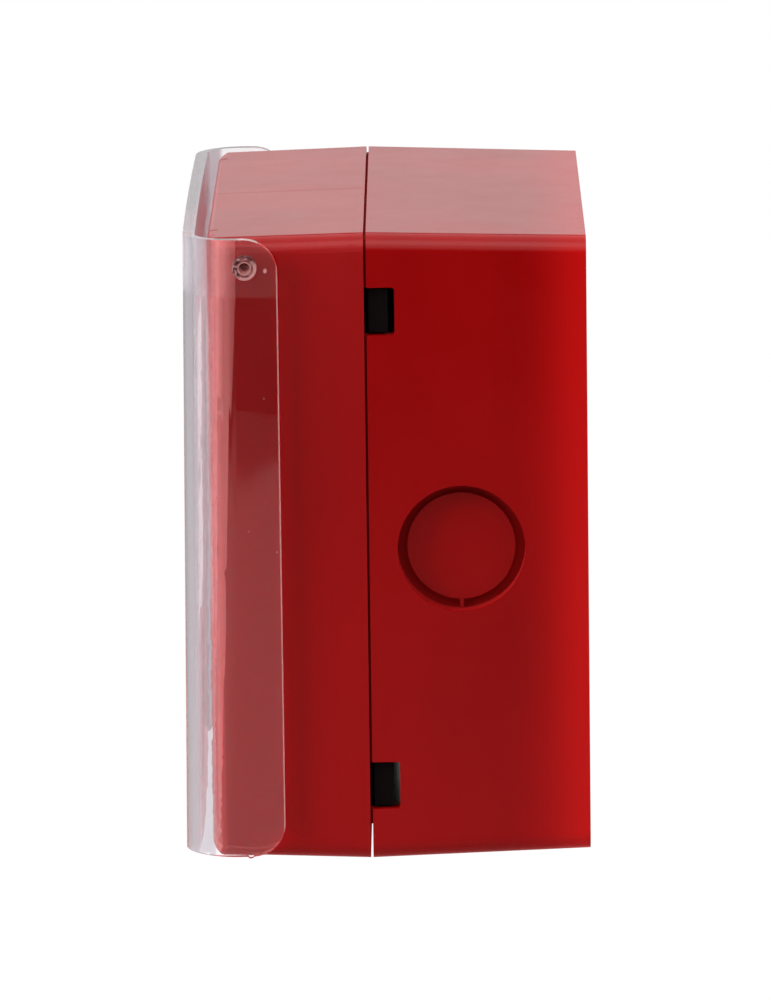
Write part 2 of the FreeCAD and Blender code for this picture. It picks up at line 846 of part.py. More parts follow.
def make_chassis():
    """The inner frame: a plate with a skirt that enters the back box."""
    half_w = half_width_at(chassis_front) - housing_wall - chassis_clearance
    half_h = chassis_half_height
    body = rounded_block(2 * half_w, 2 * half_h, chassis_corner_radius, spigot_end, chassis_front)
    hollow = rounded_block(2 * (half_w - chassis_skirt), 2 * (half_h - chassis_skirt),
                           chassis_inner_radius, spigot_end - past, chassis_back)
    through = (chassis_back - past, chassis_front + past)
    adds, cuts = [], []
    for side, up in spread((1, -1), (1, -1)):
        lug_end = box_depth - lug_setback
        adds.append(block(side * (half_w - sink), side * (half_w + lug_reach), lug_end - lug_length,
                          lug_end, up * notch_z - lug_height / 2, up * notch_z + lug_height / 2))
    for side in (1, -1):
        adds += [trunnion_post(side), flag_rail(side)]
    for x, z in column_places():
        adds.append(rod(x, z, pillar_radius, column_top + pillar_gap, chassis_front))
        cuts.append(rod(x, z, module_screw_radius + pillar_hole_play, column_top - past, through[1]))
    for x, z in board_screw_places():
        adds.append(rod(x, z, board_pillar_radius, board_front, chassis_front))
        cuts.append(rod(x, z, small_screw_radius + screw_gap, board_front - past,
                        chassis_front - board_pillar_skin))
    for x, z in housing_screw_places():
        cuts.append(rod(x, z, small_screw_radius + screw_play, *through))
    stop_z = flag_top + flag_spring_length
    adds.append(block(-spring_stop_width / 2, spring_stop_width / 2, chassis_front - sink,
                      flag_front + spring_stop_proud, stop_z, stop_z + spring_stop_height))
    adds.append(rod(press_spring_x, press_spring_z, press_spring_radius + spring_cup_wall,
                    chassis_front - sink, chassis_front + spring_cup_height))
    cuts.append(rod(press_spring_x, press_spring_z, press_spring_radius + spring_cup_play,
                    chassis_front, chassis_front + spring_cup_height + past))
    cuts.append(rod(0, cam_z, cam_axle_radius + running_gap, *through))
    cuts.append(rod(0, led_z, guide_radius + screw_play, *through))
    half = switch_width / 2 + switch_room
    cuts.append(block(switch_x - half, switch_x + half, *through,
                      switch_top - switch_length - switch_room, switch_top + switch_room))
    return fuse(body.cut(hollow), *adds).cut(cuts)


def latch_hook(side):
    """A hook on the press panel that props the flag's ear until the panel goes in."""
    swing = math.sin(math.radians(press_swing_deg))
    sweep = (press_axis_z - ear_bottom) * swing
    lift = (press_axis_depth - flag_front) * swing + hook_play
    bite = flag_thickness - 2 * hook_play
    top = ear_bottom - slide_gap
    nose = top - (flag_drop + lift) * bite / sweep
    arm_top = top - flag_drop - lift - hook_play
    toe = flag_back - hook_toe
    points = [
        (press_back + sink, arm_top), (press_back + sink, arm_top - hook_arm),
        (toe, arm_top - hook_arm + hook_taper), (toe, top), (flag_back, top),
        (flag_back + bite, nose), (flag_back + bite, arm_top),
    ]
    x = side * (flag_half_width + hook_side_gap)
    return side_prism(points, x, x + side * (ear_width - hook_side_gap - hook_play))


def make_press_panel():
    """The panel that is pushed in, with its trunnions and latch hooks."""
    z0 = window_bottom + press_bottom_gap
    z1 = window_top - press_gap
    plate = rounded_block(2 * press_half_width, z1 - z0, window_corner_radius, press_back, press_front,
                          0, (z0 + z1) / 2)
    front = [e for e in plate.Edges if e.BoundBox.YMax < -press_front + 0.01]
    plate = plate.makeFillet(press_edge_radius, front)
    root = press_back + sink
    ear_half = press_pin_radius + press_ear_margin
    rib_x = press_half_width - press_rib_inset
    adds = []
    for side in (1, -1):
        ear = block(side * (press_half_width - press_ear_width), side * press_half_width,
                    press_axis_depth - ear_half, root, press_axis_z - ear_half,
                    press_axis_z + press_pin_radius + running_gap)
        pin = cross_rod(press_axis_depth, press_axis_z, press_pin_radius,
                        side * (press_half_width - past), side * (press_half_width + press_pin_length))
        rib = block(side * rib_x, side * (rib_x - press_rib_thickness), press_back - press_rib_height,
                    root, z0 + press_rib_end_gap, press_axis_z)
        adds += [ear, pin, rib, latch_hook(side)]
    half = lever_post_height / 2
    tip_z = lever_axis_z - lever_reach + half
    lever_front = lever_axis_depth + (lever_axis_z - tip_z) * math.tan(math.radians(lever_rest_deg))
    adds.append(block(switch_x - lever_post_width / 2, switch_x + lever_post_width / 2,
                      lever_front + lever_post_gap, root, tip_z - half, tip_z + half))
    adds.append(rod(press_spring_x, press_spring_z,
                    press_spring_radius - spring_wire - spring_spigot_play,
                    press_back - spring_spigot_height, root))
    spot = rod(0, window_centre_z, spot_radius, press_front - spot_depth, press_front + past)
    return fuse(plate, *adds).cut([spot])


def crank_place():
    """The crank pin's place from the cam's axis, with the flag down by half its drop."""
    return math.sqrt(cam_crank ** 2 - (flag_drop / 2) ** 2), flag_drop / 2


def make_indicator_flag():
    """The sliding flag: a framed plate whose pad drops behind the slot."""
    plate = rounded_block(2 * flag_half_width, flag_top - flag_bottom, flag_corner_radius, flag_back,
                          flag_front, 0, (flag_top + flag_bottom) / 2)
    ears = [
        block(side * (flag_half_width - past), side * (flag_half_width + ear_width), flag_back,
              flag_front, ear_bottom, ear_bottom + ear_height)
        for side in (1, -1)
    ]
    half = slot_width / 2
    pad_z = slot_top + flag_pad_gap
    pad = block(-half, half, flag_front - sink, flag_front + flag_pad_reach, pad_z, pad_z + slot_height)
    through = (flag_back - past, flag_front + past)
    wide = half + flag_view_margin
    view = block(-wide, wide, *through, slot_top - slot_height - flag_pad_gap, slot_top - cam_pin_play)
    crank_x, crank_z = crank_place()
    play = cam_pin_radius + cam_pin_play
    left = crank_x - play
    pin_slot = block(left, cam_crank + play, *through, cam_z + crank_z - play, cam_z + crank_z + play)
    axle_room = block(-flag_half_width - past, left - cam_slot_wall, *through, flag_bottom - past,
                      cam_z + cam_axle_radius + flag_drop + cam_axle_room)
    return fuse(plate, pad, *ears).cut([view, pin_slot, axle_room])


def make_reset_cam():
    """The key-turned cam whose crank pin lifts the flag."""
    disc_front = plate_back - cam_disc_play
    disc_back = disc_front - cam_disc_thickness
    crank_x, crank_z = crank_place()
    journal = rod(0, cam_z, cam_journal_radius, disc_back, face_depth - cam_journal_recess)
    disc = rod(0, cam_z, cam_disc_radius, disc_back, disc_front)
    pin = rod(crank_x, cam_z + crank_z, cam_pin_radius, flag_back - cam_pin_reach, disc_back + sink)
    axle = rod(0, cam_z, cam_axle_radius, chassis_back + cam_axle_gap, disc_back + sink)
    key = block(-key_slot_length / 2, key_slot_length / 2, face_depth - key_slot_depth,
                face_depth + past, cam_z - key_slot_width / 2, cam_z + key_slot_width / 2)
    return fuse(journal, disc, pin, axle).cut([key])


def make_circuit_board():
    """The board behind the chassis plate, with its screw and lead holes."""
    board = rounded_block(board_width, board_top - board_bottom, board_corner_radius, board_back,
                          board_front, 0, (board_top + board_bottom) / 2)
    holes = [(x, z, small_screw_radius + screw_play) for x, z in board_screw_places()]
    holes += [(x, block_centre_z, leg_hole_radius) for x in way_places()]
    holes += [(switch_x, z, switch_leg_hole_radius) for z in switch_leg_heights()]
    half = resistor_span / 2
    ends = spread((resistor_x - half, resistor_x + half), resistor_heights())
    holes += [(x, z, lead_hole_radius) for x, z in ends]
    return board.cut([rod(x, z, radius, board_back - past, board_front + past) for x, z, radius in holes])


def make_switch_body():
    """The microswitch case, with the two ears that carry its lever."""
    half, bottom = switch_width / 2, switch_top - switch_length
    back = board_front + switch_lift
    case = block(switch_x - half, switch_x + half, back, switch_front, bottom, switch_top)
    feet = [block(switch_x - half, switch_x + half, board_front, back + sink, z, z + switch_foot)
            for z in (bottom, switch_top - switch_foot)]
    ears = []
    for side in (1, -1):
        inner = switch_x + side * (lever_width / 2 + switch_ear_gap)
        ears.append(block(inner, switch_x + side * half, switch_front - sink,
                          lever_axis_depth + switch_ear_proud, lever_axis_z - switch_ear_half_height,
                          lever_axis_z + switch_ear_half_height))
    ends = (switch_x - half - past, switch_x + half + past)
    bore = cross_rod(lever_axis_depth, lever_axis_z, lever_pin_radius + lever_pin_play, *ends)
    well = rod(switch_x, lever_axis_z - button_offset, button_radius + running_gap,
               switch_front - button_well, switch_front + past)
    rivets = [cross_rod(board_front + switch_rivet_rise, z, switch_rivet_radius, *ends)
              for z in (bottom + switch_rivet_inset, switch_top - switch_rivet_inset)]
    return fuse(case, *feet, *ears).cut([bore, well] + rivets)


def make_switch_button():
    """The small plunger under the lever, with a round tip."""
    lean = math.radians(lever_rest_deg)
    middle = lever_axis_depth + button_offset * math.tan(lean)
    tip = middle - lever_thickness / 2 / math.cos(lean) - button_gap
    stem = rod(switch_x, lever_axis_z - button_offset, button_radius, switch_front - button_length, tip)
    end = [e for e in stem.Edges if abs(e.BoundBox.Center.y + tip) < 0.01]
    return stem.makeFillet(button_tip_radius, end)


def make_switch_lever():
    """The leaf lever of the microswitch, at its rest angle."""
    half = lever_thickness / 2
    strip = block(switch_x - lever_width / 2, switch_x + lever_width / 2, lever_axis_depth - half,
                  lever_axis_depth + half, lever_axis_z - lever_reach, lever_axis_z)
    reach = switch_width / 2 - switch_ear_gap
    pin = cross_rod(lever_axis_depth, lever_axis_z, lever_pin_radius, switch_x - reach, switch_x + reach)
    lever = fuse(strip, pin)
    lever.rotate(V(0, -lever_axis_depth, lever_axis_z), V(1, 0, 0), -lever_rest_deg)
    return lever


def make_switch_terminals():
    """Three legs from the microswitch through the board."""
    half_w, half_h = switch_leg_width / 2, switch_leg_thickness / 2
    return Part.makeCompound([
        block(switch_x - half_w, switch_x + half_w, board_back - leg_length,
              board_front + switch_lift, z - half_h, z + half_h)
        for z in switch_leg_heights()
    ])


def make_terminal_block():
    """The wiring block on the back of the board, with a well and a wire hole per way."""
    z0, z1 = block_centre_z - block_height / 2, block_centre_z + block_height / 2
    case = block(block_x - block_half_width, block_x + block_half_width, block_back, board_back, z0, z1)
    cuts = []
    for x in way_places():
        cuts.append(block(x - well_width / 2, x + well_width / 2, block_back + well_wall,
                          board_back - well_floor, z0 - past, z1 - well_shelf))
        cuts.append(rod(x, block_centre_z, driver_hole_radius, block_back - past,
                        block_back + well_wall + sink))
        cuts.append(rod(x, block_centre_z, leg_hole_radius, board_back - well_floor - past,
                        board_back + past))
    return case.cut(cuts)


def make_terminal_clamps():
    """One rising cage and one leg for each way of the block."""
    z0, z1 = block_centre_z - clamp_drop, block_centre_z + clamp_rise
    crown = block_back + clamp_setback
    sole = board_back - well_floor - clamp_play()
    half = clamp_width / 2
    clamps = []
    for x in way_places():
        cage = block(x - half, x + half, crown, sole, z0, z1)
        mouth = block(x - half + clamp_wall, x + half - clamp_wall, crown + clamp_crown,
                      sole - clamp_sole, z0 - past, z1 + past)
        thread = rod(x, block_centre_z, clamp_bore_radius, crown - past, crown + clamp_crown + sink)
        leg = rod(x, block_centre_z, clamp_leg_radius, sole - clamp_sole / 4, board_front + leg_length)
        clamps.append(fuse(cage.cut([mouth, thread]), leg))
    return Part.makeCompound(clamps)


def clamp_play():
    """The space that the cage keeps from the walls of its well."""
    return (well_width - clamp_width) / 2


def slotted_screw(x, z, shank, head, tip_depth, seat_depth, head_height):
    """A cheese-head screw with a cross slot; its head lies past the seat."""
    out = 1 if seat_depth > tip_depth else -1
    end = seat_depth + out * head_height
    body = fuse(rod(x, z, shank, tip_depth, seat_depth + out * head_height / 2),
                rod(x, z, head, seat_depth, end))
    cut_at = end - out * screw_slot_share * head_height
    long, short = head * screw_slot_reach, screw_slot_width / 2
    slots = [block(x - a, x + a, cut_at, end + out * past, z - b, z + b)
             for a, b in ((long, short), (short, long))]
    return body.cut(slots)


def make_terminal_screws():
    seat = block_back + clamp_setback
    return Part.makeCompound([
        slotted_screw(x, block_centre_z, clamp_screw_radius, clamp_head_radius,
                      seat + clamp_screw_reach, seat, clamp_head_radius)
        for x in way_places()
    ])


def make_module_screws():
    return Part.makeCompound([
        slotted_screw(x, z, module_screw_radius, module_head_radius, column_top - module_screw_grip,
                      chassis_front, module_head_height)
        for x, z in column_places()
    ])


def make_housing_screws():
    return Part.makeCompound([
        slotted_screw(x, z, small_screw_radius, small_head_radius, chassis_front + housing_screw_reach,
                      chassis_back, small_head_height)
        for x, z in housing_screw_places()
    ])


def make_board_screws():
    return Part.makeCompound([
        slotted_screw(x, z, small_screw_radius, small_head_radius, board_front + board_screw_reach,
                      board_back, small_head_height)
        for x, z in board_screw_places()
    ])


def make_earth_terminal():
    """A brass post with a cross hole, for the cable screens."""
    half, top = earth_post_width / 2, earth_seat + earth_post_height
    post = block(-half, half, earth_seat, top, earth_z - half, earth_z + half)
    wire_hole = cross_rod(earth_seat + earth_wire_rise, earth_z, earth_wire_radius, -half - past,
                          half + past)
    bore = rod(0, earth_z, small_screw_radius + screw_gap, earth_seat - past, top + past)
    return post.cut([wire_hole, bore])


def make_earth_screw():
    return slotted_screw(0, earth_z, small_screw_radius, earth_head_radius, earth_skin + earth_tip_gap,
                         earth_seat + earth_post_height, earth_head_height)


def make_status_led():
    """A small lamp on the board, under the light guide."""
    half_w, half_h = led_width / 2, led_height / 2
    top = board_front + led_thickness
    base = block(-half_w, half_w, board_front, top, led_z - half_h, led_z + half_h)
    return fuse(base, rod(0, led_z, led_lens_radius, board_front + sink, top + led_lens_height))


def make_light_guide():
    """The clear rod from the lamp to the face, with a collar on the chassis."""
    bar = rod(0, led_z, guide_radius, board_front + guide_back_gap, face_depth + guide_proud)
    tip = [e for e in bar.Edges if e.BoundBox.YMax < -face_depth]
    bar = bar.makeFillet(guide_tip_radius, tip)
    return fuse(bar, rod(0, led_z, guide_collar_radius, chassis_front,
                         chassis_front + guide_collar_thickness))


def make_resistors():
    """Two axial resistors lying on the front of the board, on bent leads."""
    x0, x1 = resistor_x - resistor_span / 2, resistor_x + resistor_span / 2
    foot = board_back - lead_stub
    lift = board_front + resistor_lift
    bend = resistor_bend
    turn = bend * (1 - math.sqrt(0.5))
    half = resistor_length / 2
    pieces = []
    for z in resistor_heights():
        body = cross_rod(lift, z, resistor_radius, resistor_x - half, resistor_x + half)
        left = Part.Arc(V(x0, bend - lift, z), V(x0 + turn, turn - lift, z), V(x0 + bend, -lift, z))
        right = Part.Arc(V(x1 - bend, -lift, z), V(x1 - turn, turn - lift, z), V(x1, bend - lift, z))
        path = Part.Wire([
            Part.makeLine(V(x0, -foot, z), V(x0, bend - lift, z)),
            left.toShape(),
            Part.makeLine(V(x0 + bend, -lift, z), V(x1 - bend, -lift, z)),
            right.toShape(),
            Part.makeLine(V(x1, bend - lift, z), V(x1, -foot, z)),
        ])
        section = Part.Wire(Part.Circle(V(x0, -foot, z), V(0, 1, 0), lead_radius).toShape())
        pieces.append(fuse(body, path.makePipeShell([section], True, True)))
    return Part.makeCompound(pieces)


def coil(radius, wire, length, turns):
    """A coil spring along +Z whose wire ends flush at both ends."""
    pitch = (length - wire) / turns
    path = Part.makeHelix(pitch, pitch * turns, radius - wire / 2)
    start = V(radius - wire / 2, 0, 0)
    section = Part.Wire(Part.Circle(start, V(0, 1, 0), wire / 2).toShape())
    spring = Part.Wire(path).makePipeShell([section], True, True)
    spring.translate(V(0, 0, wire / 2))
    return spring


def make_press_spring():
    """The spring that pushes the press panel back out."""
    spring = coil(press_spring_radius, spring_wire, press_back - chassis_front, press_spring_turns)
    spring.rotate(V(0, 0, 0), V(1, 0, 0), 90)
    spring.translate(V(press_spring_x, -chassis_front, press_spring_z))
    return spring


def make_flag_spring():
    """The spring that pushes the flag down when it is let go."""
    spring = coil(flag_spring_radius, spring_wire, flag_spring_length, flag_spring_turns)
    spring.translate(V(0, -(flag_back + flag_front) / 2, flag_top))
    return spring


nodes = {
    "back_box": make_back_box,
    "front_housing": make_front_housing,
    "face_plate": make_face_plate,
    "clear_cover": make_clear_cover,
    "chassis": make_chassis,
    "press_panel": make_press_panel,
    "indicator_flag": make_indicator_flag,
    "reset_cam": make_reset_cam,
    "press_spring": make_press_spring,
    "flag_spring": make_flag_spring,
    "circuit_board": make_circuit_board,
    "switch_body": make_switch_body,
    "switch_button": make_switch_button,
    "switch_lever": make_switch_lever,
    "switch_terminals": make_switch_terminals,
    "terminal_block": make_terminal_block,
    "terminal_clamps": make_terminal_clamps,
    "terminal_screws": make_terminal_screws,
    "status_led": make_status_led,
    "light_guide": make_light_guide,
    "resistors": make_resistors,
    "module_screws": make_module_screws,
    "housing_screws": make_housing_screws,
    "board_screws": make_board_screws,
    "earth_terminal": make_earth_terminal,
    "earth_screw": make_earth_screw,
}

os.makedirs("parts", exist_ok=True)
for name, make in nodes.items():
    shape = make()
    shape.exportStep("parts/" + name + ".step")
    print(name, "solids", len(shape.Solids), "volume", round(shape.Volume, 1), "valid", shape.isValid())
print("cam swing", round(cam_swing_deg, 2))
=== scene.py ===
# %% [markdown]
# # A fire alarm call point, dressed for its picture
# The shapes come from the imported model, which is loaded as a fixed frame. This
# script gives each piece its finish, adds the small things that are too fine
# for the model, and sets up the light and the camera.

import math

import bpy
from mathutils import Matrix, Vector


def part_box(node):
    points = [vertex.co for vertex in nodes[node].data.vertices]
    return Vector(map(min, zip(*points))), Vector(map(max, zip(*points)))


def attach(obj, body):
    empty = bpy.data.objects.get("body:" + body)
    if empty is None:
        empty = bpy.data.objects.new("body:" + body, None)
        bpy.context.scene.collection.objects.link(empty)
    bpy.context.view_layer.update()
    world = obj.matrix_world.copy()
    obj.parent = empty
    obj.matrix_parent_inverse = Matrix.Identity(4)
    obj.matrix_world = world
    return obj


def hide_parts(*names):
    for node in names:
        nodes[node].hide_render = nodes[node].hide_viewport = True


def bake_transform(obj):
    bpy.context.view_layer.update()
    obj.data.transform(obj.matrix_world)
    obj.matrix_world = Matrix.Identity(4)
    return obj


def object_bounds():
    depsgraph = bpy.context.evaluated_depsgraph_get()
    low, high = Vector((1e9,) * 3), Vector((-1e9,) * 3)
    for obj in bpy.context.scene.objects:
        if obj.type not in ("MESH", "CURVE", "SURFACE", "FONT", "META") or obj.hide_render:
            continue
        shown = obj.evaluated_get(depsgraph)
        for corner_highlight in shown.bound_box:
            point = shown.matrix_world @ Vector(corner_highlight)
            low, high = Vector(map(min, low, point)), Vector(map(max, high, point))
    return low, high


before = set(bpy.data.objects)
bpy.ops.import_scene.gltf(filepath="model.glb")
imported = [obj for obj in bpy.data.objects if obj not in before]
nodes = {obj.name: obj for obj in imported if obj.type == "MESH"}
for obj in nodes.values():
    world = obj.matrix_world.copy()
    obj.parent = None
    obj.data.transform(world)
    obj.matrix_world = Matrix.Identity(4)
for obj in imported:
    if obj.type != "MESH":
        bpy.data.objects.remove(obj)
cad_low, cad_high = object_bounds()
MM = 0.001
print("pieces:", len(nodes), "box mm:", [round(v / MM, 1) for v in cad_high - cad_low])

# %% [markdown]
# ## The camera
# The picture looks at the right side of the call point from a little above,
# through a long lens. The place, aim and roll were fitted to the corners of the
# body. A camera looks along its own -Z, so its axes are built from the aim and
# then turned by the roll.

# %% Camera
CAMERA_PLACE = Vector((1226.26, -21.89, 242.11)) * MM
CAMERA_AIM = Vector((0.0, -29.746, -1.125)) * MM
CAMERA_ROLL = math.radians(-0.732)
CAMERA_LENS = 298.74
SENSOR = 36.0


def aimed_camera(place, aim, roll, lens):
    """A camera at a place, looking at an aim, turned about its line of sight."""
    ahead = (aim - place).normalized()
    right = ahead.cross(Vector((0, 0, 1))).normalized()
    up = right.cross(ahead)
    turned = math.cos(roll) * right + math.sin(roll) * up
    above = -math.sin(roll) * right + math.cos(roll) * up
    data = bpy.data.cameras.new("camera")
    data.lens = lens
    data.sensor_width = SENSOR
    data.clip_end = 20.0
    camera = bpy.data.objects.new("camera", data)
    axes = Matrix((turned, above, -ahead)).transposed()
    camera.matrix_world = Matrix.Translation(place) @ axes.to_4x4()
    bpy.context.collection.objects.link(camera)
    return camera


bpy.context.scene.camera = aimed_camera(CAMERA_PLACE, CAMERA_AIM, CAMERA_ROLL, CAMERA_LENS)
bpy.context.scene.view_settings.view_transform = "Standard"
print("camera distance mm:", round((CAMERA_PLACE - CAMERA_AIM).length / MM, 1))

# %% [markdown]
# ## Writing materials as sums
# A material is a tree of nodes, and sums on its values soon hide what they do.
# A small class wraps one socket, so that 1 - mask or mask * 0.2 adds the Math
# node by itself, and one method of the sheet adds any other node.

# %% Material helpers


class Value:
    """A number that comes out of a socket and takes part in sums."""

    def __init__(self, sheet, socket):
        self.sheet = sheet
        self.socket = socket

    def _sum(self, operation, a, b):
        return self.sheet.add("ShaderNodeMath", {"operation": operation}, {0: a, 1: b})

    def __add__(self, other):
        return self._sum("ADD", self, other)

    def __sub__(self, other):
        return self._sum("SUBTRACT", self, other)

    def __mul__(self, other):
        return self._sum("MULTIPLY", self, other)

    def __gt__(self, other):
        return self._sum("GREATER_THAN", self, other)

    def __lt__(self, other):
        return self._sum("LESS_THAN", self, other)

    def __rsub__(self, other):
        return self._sum("SUBTRACT", other, self)

    __radd__ = __add__

    def larger(self, other):
        return self._sum("MAXIMUM", self, other)

    def over(self, other):
        return self._sum("DIVIDE", self, other)

    def ramp(self, start, end):
        """0 before start, 1 after end, and a smooth rise between them."""
        return self.sheet.add(
            "ShaderNodeMapRange", {"interpolation_type": "SMOOTHSTEP"},
            {"Value": self, "From Min": start, "From Max": end},
        )


class Growth:
    """A tree of nodes that is written with one method."""

    def __init__(self, tree):
        self.tree = tree

    def add(self, kind, settings, values, output=0):
        """Adds a node: its settings first, then the values or links of its sockets."""
        node = self.tree.nodes.new(kind)
        for key, value in settings.items():
            setattr(node, key, value)
        for key, value in values.items():
            if isinstance(value, Value):
                self.tree.links.new(value.socket, node.inputs[key])
            else:
                node.inputs[key].default_value = value
        return Value(self, node.outputs[output])

    def mix(self, factor, first, second):
        """A blend of two colours, each a colour or the output of another mix."""
        node = self.tree.nodes.new("ShaderNodeMix")
        node.data_type = "RGBA"
        for index, value in ((0, factor), (6, first), (7, second)):
            if isinstance(value, Value):
                self.tree.links.new(value.socket, node.inputs[index])
            else:
                node.inputs[index].default_value = value
        return Value(self, node.outputs[2])


class Sheet(Growth):
    """The node tree of one material."""

    def __init__(self, name):
        self.material = bpy.data.materials.new(name)
        self.material.use_nodes = True
        super().__init__(self.material.node_tree)
        self.tree.nodes.clear()
        self.place = self.add("ShaderNodeTexCoord", {}, {}, "Object")
        xyz = self.tree.nodes.new("ShaderNodeSeparateXYZ")
        self.tree.links.new(self.place.socket, xyz.inputs[0])
        self.x, self.y, self.z = (Value(self, s) for s in xyz.outputs)

    def noise(self, size, detail=2.0, roughness=0.5, seed=0.0):
        """Cloudy noise with patches of about the given size in metres, from 0 to 1."""
        return self.add(
            "ShaderNodeTexNoise", {"noise_dimensions": "4D"},
            {"Vector": self.place, "W": seed, "Scale": 1 / size, "Detail": detail,
             "Roughness": roughness},
        )

    def stretched_noise(self, size, stretch, detail=2.0, seed=0.0):
        """Noise whose patches are drawn out along some of the axes."""
        place = self.add("ShaderNodeMapping", {}, {"Vector": self.place, "Scale": stretch})
        return self.add(
            "ShaderNodeTexNoise", {"noise_dimensions": "4D"},
            {"Vector": place, "W": seed, "Scale": 1 / size, "Detail": detail},
        )

    def specks(self, spacing, radius, share):
        """A mask of small dots, present in a share of the cells of a grid."""
        cell = {"Vector": self.place, "Scale": 1 / spacing}
        distance = self.add("ShaderNodeTexVoronoi", {}, cell, "Distance")
        dye = self.add("ShaderNodeTexVoronoi", {}, cell, "Color")
        lot = self.add("ShaderNodeSeparateColor", {}, {0: dye}, 0)
        return (distance < radius / spacing) * (lot < share)

    def bump(self, height, distance):
        """A normal tilted by a height field; distance is its depth in metres."""
        return self.add("ShaderNodeBump", {}, {"Height": height, "Distance": distance})

    def finish(self, shader):
        out = self.tree.nodes.new("ShaderNodeOutputMaterial")
        self.tree.links.new(shader.socket, out.inputs["Surface"])
        return self.material

    def surface(self, **values):
        """A Principled shader; underscores stand for spaces in the socket names."""
        named = {key.replace("_", " "): value for key, value in values.items()}
        return self.add("ShaderNodeBsdfPrincipled", {}, named)


def colour(red, green, blue):
    """A display colour (sRGB, 0 to 255) as the linear colour that a shader takes."""
    def linear(level):
        level = level / 255
        return level / 12.92 if level <= 0.04045 else ((level + 0.055) / 1.055) ** 2.4
    return (linear(red), linear(green), linear(blue), 1.0)


def largest(first, *others):
    """The largest of some masks."""
    for other in others:
        first = first.larger(other)
    return first


def squared_reach(sheet, y, z):
    """The square of the distance from a line along X."""
    across, up = sheet.y - y, sheet.z - z
    return across * across + up * up


def dress(material, *names):
    """Gives a finish to whole pieces of the frame."""
    for name in names:
        data = nodes[name].data
        data.materials.clear()
        data.materials.append(material)


print("helpers ready")

# %% [markdown]
# ## The red shells
# The back box and the front are moulded in one red plastic with a satin skin.
# A fine grain in the tool breaks up the gloss, the colour clouds a little from
# flow in the mould, and a few specks of dust lie on it. The last centimetre at the
# rear edge of the box is painted a brighter red, a painted glow for light that gets
# into the wall. The split and the grooves of the knock-outs are dull, with painted
# shade in a darker red, and the two halves of the tool left a faint witness line
# along the middle of the front.

# %% Red plastic
SHELL_RED = colour(160, 5, 7)
SHELL_DEEP = colour(149, 2, 4)
# painted glow: a brighter red painted near the rear edge, standing in for light that gets into
# the wall
PAINTED_GLOW_RED = colour(206, 16, 16)
SHELL_SHINE = 0.20
SATIN, RUBBED, DUSTY, DULL = 0.15, 0.10, 0.4, 0.6
PATCHES = (0.3, 0.7)
GRAIN_SHARE, FLOW_SHARE = 0.2, 6.0
PAINTED_GLOW_REACH = 13 * MM
REAR_SKIN = 0.03 * MM
TOP_FACE = (43 * MM, 45 * MM)
GLOW_TOP_LOSS = 0.6
SEAM_FRONT, SEAM_REAR = -32.27 * MM, -31.88 * MM
# painted shade: a darker red for the split between the shells and the knock-out grooves
PAINTED_SHADE_RED = colour(138, 5, 7)
WITNESS_HALF = 0.5 * MM
WITNESS_DULL = 0.05
KNOCKOUT_Y, KNOCKOUT_Z = -18.5 * MM, 0.0
GROOVE_INNER, GROOVE_OUTER = 7.85 * MM, 9.35 * MM
GROOVE_DEEP, GROOVE_MOUTH = 41.4 * MM, 42.6 * MM
# share of painted shade in the knock-out grooves
GROOVE_SHADE = 0.4
DUST, DUST_COVER = colour(214, 196, 190), 0.7
SHELL_RELIEF = 0.012 * MM


def shaded_knockout_groove(sheet):
    """1 deep in the groove around each side knock-out, fading out at its mouth; shade is painted
    there.
    """
    reach = squared_reach(sheet, KNOCKOUT_Y, KNOCKOUT_Z)
    ring = (reach > GROOVE_INNER ** 2) * (reach < GROOVE_OUTER ** 2)
    return ring * (1.0 - (sheet.x * sheet.x).ramp(GROOVE_DEEP ** 2, GROOVE_MOUTH ** 2))


def red_plastic():
    sheet = Sheet("red_plastic")
    flow = sheet.stretched_noise(22 * MM, (1.0, 1.0, 0.35), detail=3.0)
    grain = sheet.noise(0.32 * MM)
    rub = sheet.noise(7 * MM, detail=4.0, roughness=0.6, seed=3.0)
    dust = sheet.specks(spacing=9 * MM, radius=0.16 * MM, share=0.10)
    top = sheet.z.ramp(*TOP_FACE)
    # painted glow: the last centimetre before the rear edge is painted brighter, less so on the
    # top
    painted_glow = sheet.y.ramp(-PAINTED_GLOW_REACH, 0.0) * (sheet.y < -REAR_SKIN)
    painted_glow = painted_glow * painted_glow * (1.0 - top * GLOW_TOP_LOSS)
    shaded_seam = (sheet.y > SEAM_FRONT) * (sheet.y < SEAM_REAR)
    shaded_groove = shaded_knockout_groove(sheet)
    witness = (sheet.x * sheet.x < WITNESS_HALF ** 2) * (sheet.y < SEAM_FRONT)
    tint = sheet.mix(flow.ramp(*PATCHES), SHELL_RED, SHELL_DEEP)
    tint = sheet.mix(painted_glow, tint, PAINTED_GLOW_RED)
    tint = sheet.mix(dust * DUST_COVER, tint, DUST)
    # painted shade in the split (not on the top) and in the knock-out grooves
    tint = sheet.mix((shaded_seam * (1.0 - top)).larger(shaded_groove * GROOVE_SHADE), tint, PAINTED_SHADE_RED)
    dull = dust * DUSTY + shaded_seam.larger(shaded_groove) * DULL + witness * WITNESS_DULL
    return sheet.finish(sheet.surface(
        Base_Color=tint,
        Roughness=SATIN + rub * RUBBED + dull,
        Specular_IOR_Level=SHELL_SHINE,
        Normal=sheet.bump(grain * GRAIN_SHARE + flow * FLOW_SHARE, SHELL_RELIEF),
    ))


dress(red_plastic(), "back_box", "front_housing")
